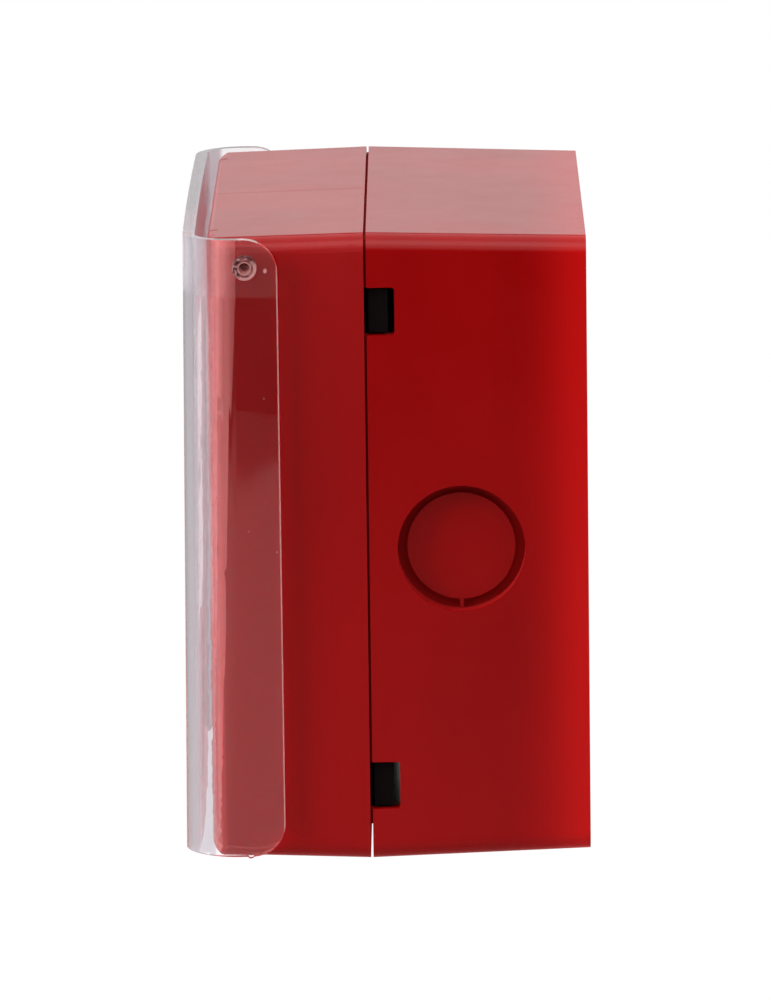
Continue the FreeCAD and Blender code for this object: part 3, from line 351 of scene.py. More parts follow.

# %% [markdown]
# ## The clear cover
# The lid is one clear polycarbonate moulding. Lamps have to reach what is under
# it, which refracting glass would block, so rays from lamps go straight through
# and lose only what the faces turn back. Handling has left fine scratches. The
# front of the lid is tinted a little darker, a painted shade, and its front
# corners carry painted highlights. The ends of the hinge pins have a painted pink
# reflection with painted glints, the rear edges of the flanges a painted
# highlight line, and the band along the top is a little milky.

# %% Clear plastic
CLEAR_TINT = colour(250, 250, 252)
# painted shade: the front of the lid is tinted darker, in place of the darkening by refraction
FRONT_SHADE_TINT = colour(225, 222, 228)
SHADE_TINT = colour(240, 236, 237)
CLEAR_IOR = 1.55
# the colour of the frost and of the painted highlights away from the front
WARM_FROST_AND_GLINT = colour(236, 186, 184)
# the colour of the painted highlights at the front corners and of the frost on the front
COOL_HIGHLIGHT_AND_FROST = colour(194, 193, 198)
# painted reflection: a pink tint on the pin ends in place of the red that they reflect
PIN_REFLECTION_TINT = colour(232, 160, 154)
HINGE_Y, HINGE_Z = -49.45 * MM, 41.95 * MM
PIN_CORE, PIN_RIM = 0.85 * MM, 1.75 * MM
# painted highlights on the pin ends: a faint glow, glints, a thin ring and an arc
PIN_HIGHLIGHT, GLINT_HIGHLIGHT = 0.04, 0.35
GLINTS = (0.48, 0.60)
LIP_INNER, LIP_OUTER, LIP_HIGHLIGHT = 0.80 * MM, 1.02 * MM, 0.5
ARC_INNER, ARC_LEAN, ARC_HIGHLIGHT = 1.30 * MM, 0.7 * MM, 0.6
GATE_Y, GATE_Z = -46.45 * MM, 41.55 * MM
GATE_REACH, GATE_FROST = 0.24 * MM, 0.6
BAND_Z, BAND_FROST = 37.65 * MM, 0.025
FACE_Y, FACE_FROST = -54.95 * MM, 0.25
SPECK_FROST = 0.5
# the rear edges of the flanges get a painted highlight line and block part of the lamps' light
EDGE_START, EDGE_HIGHLIGHT, EDGE_SHADE = -44.90 * MM, 0.32, 0.9
SIDE_RISE = (37.2 * MM, 39.8 * MM)
# painted highlights on the curved front corners and along the skirt behind them
CORNER_FADE, CORNER_HIGHLIGHT = (-58.2 * MM, -55.4 * MM), 0.5
SKIRT_FADE, SKIRT_HIGHLIGHT = (-55.3 * MM, -54.4 * MM), 0.22
SCRATCHES, SCRATCH_DULL = (0.66, 0.74), 0.12
WAVE_DEPTH = 0.08 * MM
FROST_DULL = 0.5
LEAVING_SPARED = 0.5


def frost_and_glints(sheet):
    """Painted glints and highlight rings on the ends of the hinge pins, and frost at the gate
    marks, the band along the top and dust.
    """
    reach = squared_reach(sheet, HINGE_Y, HINGE_Z)
    glints = sheet.noise(0.7 * MM, seed=8.0).ramp(*GLINTS)
    pin = (reach > PIN_CORE ** 2) * (reach < PIN_RIM ** 2)
    lip_highlight = (reach > LIP_INNER ** 2) * (reach < LIP_OUTER ** 2)
    leaning = (sheet.y - HINGE_Y) - (sheet.z - HINGE_Z) > ARC_LEAN
    arc_highlight = (reach > ARC_INNER ** 2) * (reach < PIN_RIM ** 2) * leaning
    gate = squared_reach(sheet, GATE_Y, GATE_Z) < GATE_REACH ** 2
    band = (sheet.z > BAND_Z) * (BAND_FROST + (sheet.y < FACE_Y) * FACE_FROST)
    dust = sheet.specks(spacing=3.5 * MM, radius=0.10 * MM, share=0.35)
    # the pin, lip and arc shares are painted highlights; gate, band and dust are frost
    return largest(pin * (PIN_HIGHLIGHT + glints * GLINT_HIGHLIGHT), lip_highlight * LIP_HIGHLIGHT, arc_highlight * ARC_HIGHLIGHT,
                   gate * GATE_FROST, band, dust * SPECK_FROST)


def cast_shade(sheet, edge, rough):
    """What a lamp's ray meets: it passes, less the share that each face turns back."""
    passing = sheet.add("ShaderNodeBsdfTransparent", {}, {"Color": SHADE_TINT})
    leaving = sheet.add("ShaderNodeNewGeometry", {}, {}, "Backfacing")
    turned_back = sheet.add("ShaderNodeFresnel", {}, {"IOR": CLEAR_IOR})
    lost = turned_back * (1.0 - leaving * LEAVING_SPARED)
    return sheet.add("ShaderNodeMixShader", {},
                     {0: lost.larger(edge * EDGE_SHADE), 1: passing, 2: rough})


def clear_plastic(name, roughness):
    """Clear plastic that is scratched and frosted in places, with painted highlights and a
    painted shade at the front, and lets lamps shine through.
    """
    sheet = Sheet(name)
    wave = sheet.stretched_noise(14 * MM, (1.0, 1.0, 0.3))
    scratch = sheet.stretched_noise(0.5 * MM, (1.0, 1.0, 0.02), seed=5.0)
    worn = scratch.ramp(*SCRATCHES)
    pin = squared_reach(sheet, HINGE_Y, HINGE_Z) < PIN_RIM ** 2
    # painted shade on the front of the lid
    tint = sheet.mix(sheet.y < FACE_Y, CLEAR_TINT, FRONT_SHADE_TINT)
    clear = sheet.surface(
        # painted pink reflection on the ends of the hinge pins
        Base_Color=sheet.mix(pin, tint, PIN_REFLECTION_TINT),
        Roughness=worn * SCRATCH_DULL + roughness,
        IOR=CLEAR_IOR,
        Transmission_Weight=1.0,
        Normal=sheet.bump(wave, WAVE_DEPTH),
    )
    edge = sheet.y > EDGE_START
    side = (sheet.x * sheet.x).ramp(SIDE_RISE[0] ** 2, SIDE_RISE[1] ** 2)
    # painted highlights where the front corners curve round
    corner_highlight = side * (1.0 - sheet.y.ramp(*CORNER_FADE))
    skirt_highlight = side * (1.0 - sheet.y.ramp(*SKIRT_FADE))
    frost_and_highlights = largest(frost_and_glints(sheet), edge * EDGE_HIGHLIGHT, corner_highlight * CORNER_HIGHLIGHT,
                    skirt_highlight * SKIRT_HIGHLIGHT)
    cool = largest(corner_highlight, skirt_highlight, sheet.y < FACE_Y)
    # one milky colour for frost and painted highlights
    milky_and_highlight = sheet.mix(cool, WARM_FROST_AND_GLINT, COOL_HIGHLIGHT_AND_FROST)
    rough = sheet.surface(Base_Color=milky_and_highlight, Roughness=FROST_DULL)
    seen = sheet.add("ShaderNodeMixShader", {}, {0: frost_and_highlights, 1: clear, 2: rough})
    lamp_ray = sheet.add("ShaderNodeLightPath", {}, {}, "Is Shadow Ray")
    cast = cast_shade(sheet, edge, rough)
    return sheet.finish(sheet.add("ShaderNodeMixShader", {}, {0: lamp_ray, 1: seen, 2: cast}))


dress(clear_plastic("clear_cover_plastic", 0.0), "clear_cover")
dress(clear_plastic("light_guide_acrylic", 0.08), "light_guide")

# %% [markdown]
# ## Plain mouldings
# The inner pieces are matt or satin plastic. They share one recipe: a colour that
# clouds a little, a grain from the tool, and a roughness that varies with wear.

# %% Moulded plastics
CLOUDS = (0.35, 0.7)
LIGHT_DUST, WORN_DULL, DUST_DULL = 0.5, 0.08, 0.2
GRAIN_DEPTH = 0.010 * MM
# name: colour, its shade, roughness, shine, pieces
MOULDINGS = {
    "black_frame_plastic": ((6, 6, 7), (4, 4, 5), 0.70, 0.05, ("chassis", "switch_body")),
    "face_plate_red": ((166, 22, 24), (152, 15, 17), 0.36, 0.4, ("face_plate",)),
    "panel_white": ((233, 232, 226), (224, 222, 214), 0.42, 0.4, ("press_panel",)),
    "flag_yellow": ((240, 200, 40), (230, 186, 28), 0.45, 0.4, ("indicator_flag",)),
    "cam_black": ((30, 30, 32), (22, 22, 24), 0.42, 0.4, ("reset_cam",)),
    "button_red": ((190, 32, 30), (176, 24, 24), 0.4, 0.4, ("switch_button",)),
    "block_grey": ((132, 138, 140), (120, 126, 128), 0.5, 0.4, ("terminal_block",)),
}


def moulding(name, base, shade, roughness, shine):
    sheet = Sheet(name)
    cloud = sheet.noise(11 * MM, detail=3.0, roughness=0.55, seed=1.0)
    grain = sheet.noise(0.35 * MM, roughness=0.6)
    dust = sheet.specks(spacing=8 * MM, radius=0.14 * MM, share=0.08)
    tint = sheet.mix(cloud.ramp(*CLOUDS), base, shade)
    tint = sheet.mix(dust * LIGHT_DUST, tint, DUST)
    return sheet.finish(sheet.surface(
        Base_Color=tint,
        Roughness=roughness + cloud * WORN_DULL + dust * DUST_DULL,
        Specular_IOR_Level=shine,
        Normal=sheet.bump(grain, GRAIN_DEPTH),
    ))


for name, (base, shade, roughness, shine, pieces) in MOULDINGS.items():
    dress(moulding(name, colour(*base), colour(*shade), roughness, shine), *pieces)

# %% [markdown]
# ## Metals
# Springs and the switch lever are bright steel, the screws are zinc plated, the
# clamps and legs are tinned and the earth post is brass. Fine lines along the
# drawing or turning direction are what tell these from chrome.

# %% Metals
STAINS, STAIN_DULL = (0.4, 0.75), 0.15
LINE_DULL, LINE_DEPTH = 0.06, 0.004 * MM
# name: colour, its shade, roughness, stretch of the lines, pieces
METALS = {
    "spring_steel": ((205, 206, 208), (176, 176, 180), 0.22, (1, 1, 0.1),
                     ("press_spring", "flag_spring", "switch_lever")),
    "zinc_plate": ((208, 211, 216), (188, 190, 182), 0.26, (1, 0.2, 1),
                   ("module_screws", "housing_screws", "board_screws", "terminal_screws",
                    "earth_screw")),
    "tinned_copper": ((214, 214, 208), (190, 188, 178), 0.34, (1, 0.3, 1),
                      ("switch_terminals", "terminal_clamps")),
    "brass": ((214, 178, 96), (190, 148, 74), 0.28, (0.15, 1, 1), ("earth_terminal",)),
}


def metal(name, base, shade, roughness, stretch):
    sheet = Sheet(name)
    lines = sheet.stretched_noise(0.25 * MM, stretch, detail=3.0)
    stain = sheet.noise(3 * MM, detail=3.0, roughness=0.6, seed=2.0)
    return sheet.finish(sheet.surface(
        Base_Color=sheet.mix(stain.ramp(*STAINS), base, shade),
        Metallic=1.0,
        Roughness=roughness + stain * STAIN_DULL + lines * LINE_DULL,
        Normal=sheet.bump(lines, LINE_DEPTH),
    ))


for name, (base, shade, roughness, stretch, pieces) in METALS.items():
    dress(metal(name, colour(*base), colour(*shade), roughness, stretch), *pieces)

# %% [markdown]
# ## The springs
# A coil spring stands between two bodies and changes length as a joint moves.
# Here a copy of each spring's mesh takes the place of its node, which is hidden,
# and stays where the node was.

# %% Springs


def stretching_spring(node, name, along):
    """Stands for a spring's node with a fixed copy of its mesh, and hides the node."""
    low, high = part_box(node)
    end = Vector(low)
    end[along] = high[along]
    piece = bpy.data.objects.new(name, nodes[node].data.copy())
    bpy.context.collection.objects.link(piece)
    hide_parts(node)
    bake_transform(piece)


stretching_spring("press_spring", "press_spring_coil", 1)
stretching_spring("flag_spring", "flag_spring_coil", 2)

# %% [markdown]
# ## The board and what it carries
# A circuit board is glass cloth under green lacquer. The weave of the cloth shows
# faintly in the gloss; the copper tracks are geometry and come further down.

# %% Board, lamp and resistors
EVEN_CLOUDS = (0.3, 0.7)
WEAVE_SCALE, WEAVE_DEPTH = 700.0, 0.006 * MM


def board_lacquer():
    sheet = Sheet("board_lacquer")
    weave = sheet.add("ShaderNodeTexWave", {"wave_type": "BANDS", "bands_direction": "X"},
                      {"Vector": sheet.place, "Scale": WEAVE_SCALE})
    cloud = sheet.noise(6 * MM, detail=3.0)
    tint = sheet.mix(cloud.ramp(*EVEN_CLOUDS), colour(22, 92, 48), colour(16, 76, 40))
    return sheet.finish(sheet.surface(
        Base_Color=tint,
        Roughness=0.30 + cloud * 0.12,
        Normal=sheet.bump(weave, WEAVE_DEPTH),
    ))


def lamp_resin():
    sheet = Sheet("lamp_resin")
    cloud = sheet.noise(1.2 * MM)
    return sheet.finish(sheet.surface(
        Base_Color=sheet.mix(cloud, colour(232, 226, 206), colour(214, 204, 180)),
        Roughness=0.15 + cloud * 0.1,
        Coat_Weight=0.5,
    ))


# each band's place along the body in mm, and its colour
RESISTOR_BANDS = ((-1.9, (120, 60, 20)), (-0.8, (30, 30, 30)), (0.3, (190, 40, 30)),
                  (1.7, (200, 160, 60)))
BAND_HALF = 0.3
WIRE_START = 3.21 * MM


def resistor_lacquer():
    """Beige lacquer on the bodies with colour bands, and tinned wire beyond them."""
    sheet = Sheet("resistor_lacquer")
    low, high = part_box("resistors")
    middle = (low.x + high.x) / 2
    along = sheet.x - middle
    cloud = sheet.noise(1.5 * MM)
    tint = sheet.mix(cloud, colour(206, 182, 136), colour(192, 166, 120))
    for place, band in RESISTOR_BANDS:
        inside = (along > (place - BAND_HALF) * MM) * (along < (place + BAND_HALF) * MM)
        tint = sheet.mix(inside, tint, colour(*band))
    wire = (along < -WIRE_START).larger(along > WIRE_START)
    tint = sheet.mix(wire, tint, colour(205, 205, 200))
    return sheet.finish(sheet.surface(
        Base_Color=tint, Metallic=wire, Roughness=0.36 + cloud * 0.1,
    ))


dress(board_lacquer(), "circuit_board")
dress(lamp_resin(), "status_led")
dress(resistor_lacquer(), "resistors")

# %% [markdown]
# ## Growing what repeats
# A screw thread, a solder joint and a copper track each follow a rule, so a small
# Geometry Nodes tree makes each from a few points. A tree has named inputs for its
# sizes. Its result is turned into a plain mesh, because instances are not exported.

# %% Geometry trees


class Pattern(Growth):
    """A Geometry Nodes tree with named inputs for its sizes and its material."""

    def __init__(self, name, *sizes):
        super().__init__(bpy.data.node_groups.new(name, "GeometryNodeTree"))
        sockets = self.tree.interface
        sockets.new_socket(name="Geometry", in_out="INPUT", socket_type="NodeSocketGeometry")
        for size in sizes:
            sockets.new_socket(name=size, in_out="INPUT", socket_type="NodeSocketFloat")
        sockets.new_socket(name="Finish", in_out="INPUT", socket_type="NodeSocketMaterial")
        sockets.new_socket(name="Geometry", in_out="OUTPUT", socket_type="NodeSocketGeometry")
        given = self.tree.nodes.new("NodeGroupInput").outputs
        self.given = {socket.name: Value(self, socket) for socket in given if socket.name}

    def end(self, shape):
        """Realizes the instances, smooths them and gives them their material."""
        whole = self.add("GeometryNodeRealizeInstances", {}, {0: shape})
        smooth = self.add("GeometryNodeSetShadeSmooth", {}, {0: whole})
        made = self.add("GeometryNodeSetMaterial", {},
                        {"Geometry": smooth, "Material": self.given["Finish"]})
        out = self.tree.nodes.new("NodeGroupOutput")
        self.tree.links.new(made.socket, out.inputs[0])
        return self.tree


def points_and_lines(name, points, lines=()):
    """The few points, and the lines between them, that a tree starts from."""
    mesh = bpy.data.meshes.new(name)
    mesh.from_pydata(points, lines, [])
    return mesh


def grow(name, tree, seed, finish, slot, **sizes):
    """Runs a tree on a seed and keeps the plain mesh that it makes, on the base."""
    carrier = bpy.data.objects.new(name + "_seed", seed)
    bpy.context.collection.objects.link(carrier)
    modifier = carrier.modifiers.new(name, "NODES")
    modifier.node_group = tree
    for item in tree.interface.items_tree:
        if item.in_out == "INPUT" and item.name in sizes:
            modifier[item.identifier] = sizes[item.name]
        if item.in_out == "INPUT" and item.name == "Finish":
            modifier[item.identifier] = finish
    grown = carrier.evaluated_get(bpy.context.evaluated_depsgraph_get())
    mesh = bpy.data.meshes.new_from_object(grown)
    bpy.data.objects.remove(carrier)
    piece = bpy.data.objects.new(name, mesh)
    bpy.context.collection.objects.link(piece)
    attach(piece, "base")
    print(name, "faces:", len(mesh.polygons))


# %% [markdown]
# ## Screw threads
# The model's screws have plain shanks. A thread is one ridge wound round each
# shank: a spiral curve carries a three-sided section, and an instance of it stands
# on one point for each screw. The long screws are threaded only near the tip. The
# curve winds to the left by itself, so it is reversed: screws are right-handed.

# %% Threads
THREAD_STEPS = 20
SUNK_RADIUS, RIDGE_SHARE = 0.98, 0.22


def thread_pattern():
    pattern = Pattern("thread", "Radius", "Pitch", "Length", "Ridge")
    given = pattern.given
    spiral = pattern.add("GeometryNodeCurveSpiral", {}, {
        "Resolution": THREAD_STEPS, "Rotations": given["Length"].over(given["Pitch"]),
        "Start Radius": given["Radius"], "End Radius": given["Radius"], "Height": given["Length"],
        "Reverse": True,
    })
    section = pattern.add("GeometryNodeCurvePrimitiveCircle", {},
                          {"Resolution": 3, "Radius": given["Ridge"]})
    ridge = pattern.add("GeometryNodeCurveToMesh", {},
                        {"Curve": spiral, "Profile Curve": section, "Fill Caps": True})
    return pattern.end(pattern.add("GeometryNodeInstanceOnPoints", {}, {
        "Points": given["Geometry"], "Instance": ridge,
        "Rotation": (-math.pi / 2, 0.0, 0.0),
    }))


def four_places(x, z_low, z_high):
    return [(side * x, z) for side in (-1, 1) for z in (z_low, z_high)]


WAY_COUNT, WAY_PITCH = 6, 5.08
WAYS = [(i - (WAY_COUNT - 1) / 2) * WAY_PITCH for i in range(WAY_COUNT)]
BLOCK_Z = -14.5
# name: places, radius, pitch, nearest the front, length (all in mm)
THREADS = {
    "module_screw_threads": (four_places(28.39, -26.0, 26.0), 1.5, 1.0, -33.0, 11.6),
    "housing_screw_threads": (four_places(35.64, -30.0, 30.0), 1.1, 0.8, -47.6, 4.4),
    "board_screw_threads": (four_places(20.99, -21.8, 33.3), 1.1, 0.8, -40.2, 3.8),
    "terminal_screw_threads": ([(x, BLOCK_Z) for x in WAYS], 0.98, 0.4, -29.3, 2.3),
    "earth_screw_thread": ([(0.0, -31.0)], 1.1, 0.6, -10.2, 8.2),
}
ZINC = nodes["module_screws"].data.materials[0]
thread = thread_pattern()
for name, (places, radius, pitch, start, length) in THREADS.items():
    seed = points_and_lines(name, [(x * MM, start * MM, z * MM) for x, z in places])
    grow(name, thread, seed, ZINC, "zinc_screws", Radius=radius * SUNK_RADIUS * MM,
         Pitch=pitch * MM, Length=length * MM, Ridge=pitch * RIDGE_SHARE * MM)

# %% [markdown]
# ## Solder joints
# Each leg that comes through the board ends in a small cone of solder with hollow
# sides. A cone is drawn in at its middle, and one stands on each leg, on the side
# of the board away from the part that it holds.

# %% Solder
BOARD_REAR, BOARD_FRONT = -34.4 * MM, -36.0 * MM
SWITCH_LEGS = [(17.6, z) for z in (-12.1, -5.1, 1.9)]
RESISTOR_LEGS = [(x, z) for x in (-18.5, -7.5) for z in (12.0, 17.0)]
HOLLOW = 0.3


def solder_pattern(side):
    """The tree for one side of the board: 1 is the rear and -1 the front."""
    pattern = Pattern("solder_rear" if side > 0 else "solder_front", "Foot", "Tip", "Height")
    given = pattern.given
    cone = pattern.add("GeometryNodeMeshCone", {}, {
        "Vertices": 20, "Side Segments": 5, "Radius Top": given["Tip"],
        "Radius Bottom": given["Foot"], "Depth": given["Height"],
    })
    place = pattern.add("GeometryNodeInputPosition", {}, {})
    apart = pattern.tree.nodes.new("ShaderNodeSeparateXYZ")
    pattern.tree.links.new(place.socket, apart.inputs[0])
    x, y, z = (Value(pattern, socket) for socket in apart.outputs)
    bend = pattern.add("ShaderNodeMath", {"operation": "SINE"},
                       {0: z.over(given["Height"]) * math.pi})
    kept = 1.0 - bend * HOLLOW
    moved = pattern.add("ShaderNodeCombineXYZ", {}, {"X": x * kept, "Y": y * kept, "Z": z})
    hollow = pattern.add("GeometryNodeSetPosition", {}, {"Geometry": cone, "Position": moved})
    return pattern.end(pattern.add("GeometryNodeInstanceOnPoints", {}, {
        "Points": given["Geometry"], "Instance": hollow,
        "Rotation": (-side * math.pi / 2, 0.0, 0.0),
    }))


TINNED = nodes["switch_terminals"].data.materials[0]
rear_legs = [(x * MM, BOARD_REAR, z * MM) for x, z in SWITCH_LEGS + RESISTOR_LEGS]
front_legs = [(x * MM, BOARD_FRONT, BLOCK_Z * MM) for x in WAYS]
grow("solder_rear", solder_pattern(1), points_and_lines("rear_legs", rear_legs), TINNED,
     "tinned_metal", Foot=1.0 * MM, Tip=0.36 * MM, Height=0.8 * MM)
grow("solder_front", solder_pattern(-1), points_and_lines("front_legs", front_legs), TINNED,
     "tinned_metal", Foot=1.15 * MM, Tip=0.56 * MM, Height=0.9 * MM)

# %% [markdown]
# ## Copper tracks
# The tracks join the resistors, the lamp and the switch to the terminals. Each is
# a line of points with rounded corners that carries a flat section. The lines are
# drawn on a level plane and then turned up onto the board, because a section that
# follows a curve stays flat only where the curve never runs straight up.

# %% Tracks
# points in X and Z on the board, in mm
TRACKS = [
    [(-7.5, 17.0), (-2.0, 22.5), (-2.0, 31.2)],
    [(-18.5, 17.0), (-20.6, 14.9), (-20.6, -3.9), (-12.7, -11.8), (-12.7, -14.5)],
    [(-18.5, 12.0), (-16.0, 9.5), (-16.0, -2.0), (-7.62, -10.4), (-7.62, -14.5)],
    [(-7.5, 12.0), (-7.5, 1.0), (-2.54, -4.0), (-2.54, -14.5)],
    [(2.0, 31.2), (2.0, 4.0), (2.54, 3.4), (2.54, -14.5)],
    [(17.6, 1.9), (13.3, 1.9), (7.62, -3.8), (7.62, -14.5)],
    [(17.6, -5.1), (15.0, -5.1), (12.7, -7.4), (12.7, -14.5)],
    [(17.6, -12.1), (20.6, -15.1), (20.6, -17.5)],
]


def track_lacquer():
    sheet = Sheet("track_lacquer")
    cloud = sheet.noise(2 * MM, detail=3.0)
    return sheet.finish(sheet.surface(
        Base_Color=sheet.mix(cloud.ramp(*EVEN_CLOUDS), colour(46, 128, 66),
                             colour(38, 112, 58)),
        Roughness=0.26 + cloud * 0.12,
        Normal=sheet.bump(cloud, 0.01 * MM),
    ))


def track_pattern():
    pattern = Pattern("track", "Width", "Height", "Corner", "Plane")
    given = pattern.given
    line = pattern.add("GeometryNodeMeshToCurve", {}, {"Mesh": given["Geometry"]})
    rounded = pattern.add("GeometryNodeFilletCurve", {"mode": "POLY"}, {
        "Curve": line, "Count": 6, "Radius": given["Corner"], "Limit Radius": True,
    })
    level = pattern.add("GeometryNodeSetCurveNormal", {"mode": "Z_UP"}, {0: rounded})
    section = pattern.add("GeometryNodeCurvePrimitiveQuadrilateral", {},
                          {"Width": given["Width"], "Height": given["Height"]})
    ribbon = pattern.add("GeometryNodeCurveToMesh", {},
                         {"Curve": level, "Profile Curve": section, "Fill Caps": True})
    shift = pattern.add("ShaderNodeCombineXYZ", {}, {"Y": given["Plane"]})
    return pattern.end(pattern.add("GeometryNodeTransform", {}, {
        "Geometry": ribbon, "Rotation": (math.pi / 2, 0.0, 0.0), "Translation": shift,
    }))


def track_seed():
    points, lines = [], []
    for track in TRACKS:
        first = len(points)
        points += [(x * MM, z * MM, 0.0) for x, z in track]
        lines += [(i, i + 1) for i in range(first, len(points) - 1)]
    return points_and_lines("tracks", points, lines)


grow("copper_tracks", track_pattern(), track_seed(), track_lacquer(), "circuit_board",
     Width=1.0 * MM, Height=0.08 * MM, Corner=1.2 * MM, Plane=BOARD_REAR + 0.01 * MM)

# %% [markdown]
# ## The mark on the panel
# Two arrows that point at a dot tell a person where to push. They are printed, so
# they are thin plates of ink that lie on the panel and in its thumb dip, and move
# with it.

# %% Arrows and dot
PANEL_FRONT = -54.0 * MM
DIP_FLOOR = -53.7 * MM
MARK_Z = 6.0 * MM
INK = 0.03 * MM
DOT_RADIUS, DOT_SIDES = 4.6 * MM, 64
ARROW = [(8.0, 0.0), (12.6, -3.9), (12.6, -1.5), (19.0, -1.5), (19.0, 1.5), (12.6, 1.5),
         (12.6, 3.9)]


def printed(shapes):
    """A mesh of thin plates: each shape is its outline in X and Z and its surface."""
    points, faces = [], []
    for outline, surface in shapes:
        first, count = len(points), len(outline)
        for y in (surface - INK, surface + INK):
            points += [(x, y, z) for x, z in outline]
        front = list(range(first, first + count))
        faces += [front, [i + count for i in reversed(front)]]
        for i in range(count):
            a, b = front[i], front[(i + 1) % count]
            faces.append((b, a, a + count, b + count))
    mesh = bpy.data.meshes.new("press_mark")
    mesh.from_pydata(points, [], faces)
    return mesh


def ink():
    sheet = Sheet("mark_ink")
    coverage = sheet.noise(0.5 * MM, detail=3.0, roughness=0.6)
    return sheet.finish(sheet.surface(
        Base_Color=sheet.mix(coverage.ramp(0.3, 0.8), colour(20, 20, 22), colour(34, 34, 36)),
        Roughness=0.42 + coverage * 0.15,
        Normal=sheet.bump(coverage, 0.006 * MM),
    ))


def press_mark():
    turns = [2 * math.pi * i / DOT_SIDES for i in range(DOT_SIDES)]
    dot = [(DOT_RADIUS * math.cos(t), MARK_Z + DOT_RADIUS * math.sin(t)) for t in turns]
    right = [(x * MM, MARK_Z + z * MM) for x, z in ARROW]
    left = [(-x, z) for x, z in reversed(right)]
    mesh = printed([(dot, DIP_FLOOR), (right, PANEL_FRONT), (left, PANEL_FRONT)])
    mesh.materials.append(ink())
    piece = bpy.data.objects.new("press_mark", mesh)
    bpy.context.collection.objects.link(piece)
    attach(piece, "panel")
    print("press_mark faces:", len(mesh.polygons))


press_mark()

# %% [markdown]
# ## Studio
# The object stands clear of a pale floor in front of a white backdrop. The world
# is white to the camera. In reflections it is a room: a light backdrop behind the
# object, dark behind the camera, a pale pinkish screen in front and a glow
# overhead. Matt surfaces get it only dim, so that the lamps give the shape.

# %% World
WHITE = (1.0, 1.0, 1.0, 1.0)
BACKDROP, BACKDROP_EDGE = 0.82, (0.15, 0.50)
BACKDROP_TOP = (0.32, 0.50)
ROOM, DIM = 0.02, 0.07
OVERHEAD, OVERHEAD_EDGE = 2.2, (0.05, 0.50)
SCREEN_EDGE, SCREEN_NEAR = 1.1, (0.03, 0.10)
SCREEN_RISE, SCREEN_WIDE = 1.2, (0.10, 0.35)
SCREEN_FALL, SCREEN_FAR = 1.6, (0.60, 0.85)
SCREEN_BLUSH, BLUSH_FAR = (1.0, 0.435, 0.435, 1.0), (0.58, 0.74)


def ray_kinds(tree):
    """Masks of the camera's straight rays, also through glass, and of mirrored rays."""
    seen = tree.add("ShaderNodeLightPath", {}, {}, "Is Camera Ray")
    through = tree.add("ShaderNodeLightPath", {}, {}, "Is Transmission Ray")
    mirrored = tree.add("ShaderNodeLightPath", {}, {}, "Glossy Depth") > 0.5
    scattered = tree.add("ShaderNodeLightPath", {}, {}, "Diffuse Depth") > 0.5
    return seen.larger(through) * (1.0 - mirrored) * (1.0 - scattered), mirrored


def studio_world():
    """White to the camera, a room in reflections, and dim for matt surfaces."""
    world = bpy.data.worlds.new("studio")
    bpy.context.scene.world = world
    world.use_nodes = True
    air = Growth(world.node_tree)
    air.tree.nodes.clear()
    ahead = air.add("ShaderNodeTexCoord", {}, {}, "Generated")
    across = air.add("ShaderNodeSeparateXYZ", {}, {0: ahead}, "X")
    along = air.add("ShaderNodeSeparateXYZ", {}, {0: ahead}, "Y")
    up = air.add("ShaderNodeSeparateXYZ", {}, {0: ahead}, "Z")
    straight, mirrored = ray_kinds(air)
    room = across.ramp(*BACKDROP_EDGE)
    front = 0.0 - along
    near = front.ramp(*SCREEN_NEAR)
    screen = (near * SCREEN_EDGE + front.ramp(*SCREEN_WIDE) * SCREEN_RISE
              - front.ramp(*SCREEN_FAR) * SCREEN_FALL)
    in_front = largest(screen, ROOM, up.ramp(*OVERHEAD_EDGE) * OVERHEAD)
    low = 1.0 - up.ramp(*BACKDROP_TOP)
    around = (1.0 - room) * low * BACKDROP + room * in_front
    level = straight + (1.0 - straight) * (mirrored * around + (1.0 - mirrored) * DIM)
    blush = mirrored * room * near * (1.0 - front.ramp(*BLUSH_FAR))
    tint = air.mix(blush, WHITE, SCREEN_BLUSH)
    strength = level * (blush.over(SCREEN_BLUSH[1]) + (1.0 - blush))
    light = air.add("ShaderNodeBackground", {}, {"Color": tint, "Strength": strength})
    out = air.tree.nodes.new("ShaderNodeOutputWorld")
    air.tree.links.new(light.socket, out.inputs["Surface"])


studio_world()

# %% [markdown]
# A large lamp overhead lights the top and a smaller one lights the front. A weak
# lamp on the wall's side lights the rear edge. The camera doesn't see them.

# %% Lamps
MIDDLE = (0.0, -0.028, 0.0)
# name: place, aim, width and height, power (in metres and watts)
LAMPS = {
    "top_lamp": ((0.0, 0.0, 0.60), (0.0, 0.0, 0.0), (1.4, 1.0), 6.6),
    "rear_lamp": ((0.20, 0.25, 0.06), MIDDLE, (0.12, 0.40), 0.25),
    "front_lamp": ((0.25, -0.80, 0.30), MIDDLE, (0.5, 0.5), 8.2),
}


def soft_box(name, place, aim, size, power):
    """An area lamp that faces a point."""
    data = bpy.data.lights.new(name, "AREA")
    data.shape = "RECTANGLE"
    data.size, data.size_y = size
    data.energy = power
    lamp = bpy.data.objects.new(name, data)
    lamp.location = place
    lamp.rotation_mode = "QUATERNION"
    lamp.rotation_quaternion = (Vector(aim) - Vector(place)).to_track_quat("-Z", "Y")
    lamp.visible_camera = False
    bpy.context.collection.objects.link(lamp)


for name, (place, aim, size, power) in LAMPS.items():
    soft_box(name, place, aim, size, power)

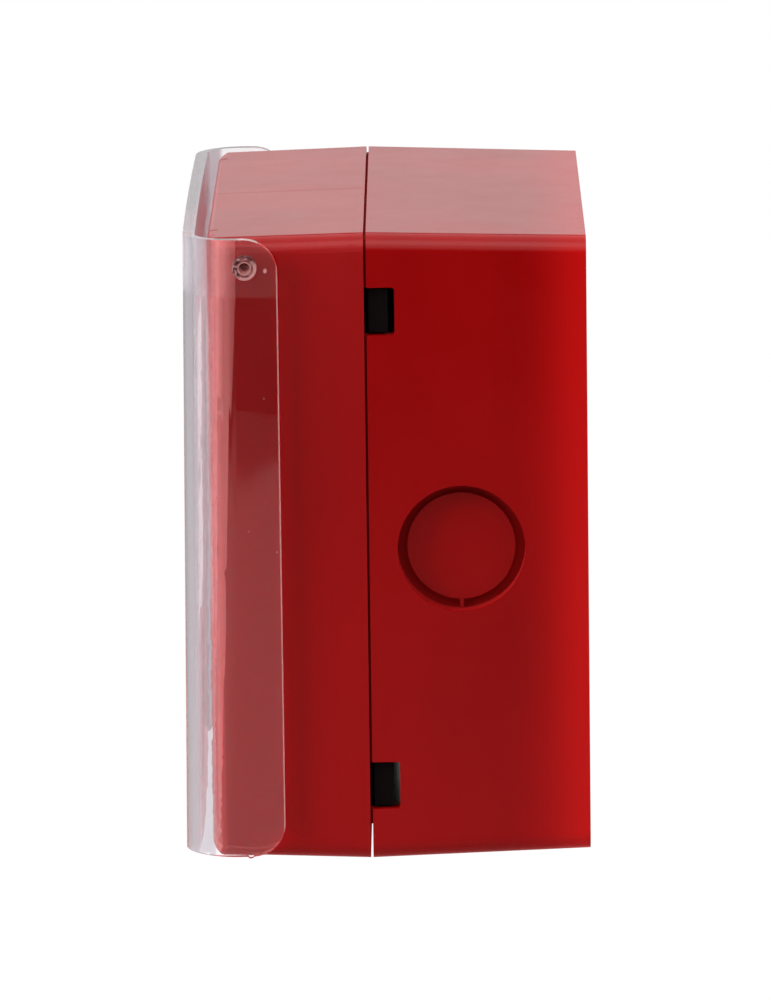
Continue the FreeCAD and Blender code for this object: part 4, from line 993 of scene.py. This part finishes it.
# %% [markdown]
# A call point hangs on a wall, so the floor is not what it rests on: it lies a
# hand's width below. It is white to the camera. In reflections, and in the light
# that it sends up, it is reddish, paler to the front, and dark at its near edge.

# %% Floor
FLOOR_DROP = 80 * MM
FLOOR_BACK, FLOOR_NEAR = -1.6, 0.84
FLOOR_FRONT, FLOOR_REAR = -0.30, 1.5
FLOOR_RED, FLOOR_SHADE = colour(184, 137, 137), colour(178, 131, 131)
FLOOR_PALE, PALE_SHARE = colour(232, 190, 190), 0.6
FLOOR_DARK = colour(30, 24, 24)
FLOOR_DULL = 0.8
NEAR_FADE, NEAR_WANDER = (0.72, 0.79), 0.12
FRONT_FADE = (0.08, 0.28)
FLOOR_GLOW, GLOW_SHARE = 1.05, 0.95


def floor():
    sheet = Sheet("pale_floor")
    cloud = sheet.noise(60 * MM)
    drift = sheet.stretched_noise(60 * MM, (1.0, 4.0, 1.0))
    near = (sheet.x + drift * NEAR_WANDER - NEAR_WANDER / 2).ramp(*NEAR_FADE)
    front = (0.0 - sheet.y).ramp(*FRONT_FADE)
    tint = sheet.mix(cloud, FLOOR_RED, FLOOR_SHADE)
    tint = sheet.mix(front * PALE_SHARE, tint, FLOOR_PALE)
    tint = sheet.mix(near, tint, FLOOR_DARK)
    matt = sheet.surface(Base_Color=tint, Roughness=FLOOR_DULL)
    glow = sheet.add("ShaderNodeEmission", {}, {"Strength": FLOOR_GLOW})
    straight, _ = ray_kinds(sheet)
    share = straight * GLOW_SHARE
    material = sheet.finish(sheet.add("ShaderNodeMixShader", {}, {0: share, 1: matt, 2: glow}))
    height = cad_low.z - FLOOR_DROP
    corners = [(FLOOR_BACK, FLOOR_FRONT, height), (FLOOR_NEAR, FLOOR_FRONT, height),
               (FLOOR_NEAR, FLOOR_REAR, height), (FLOOR_BACK, FLOOR_REAR, height)]
    mesh = bpy.data.meshes.new("floor")
    mesh.from_pydata(corners, [], [(0, 1, 2, 3)])
    mesh.materials.append(material)
    plane = bpy.data.objects.new("floor", mesh)
    bpy.context.collection.objects.link(plane)


floor()
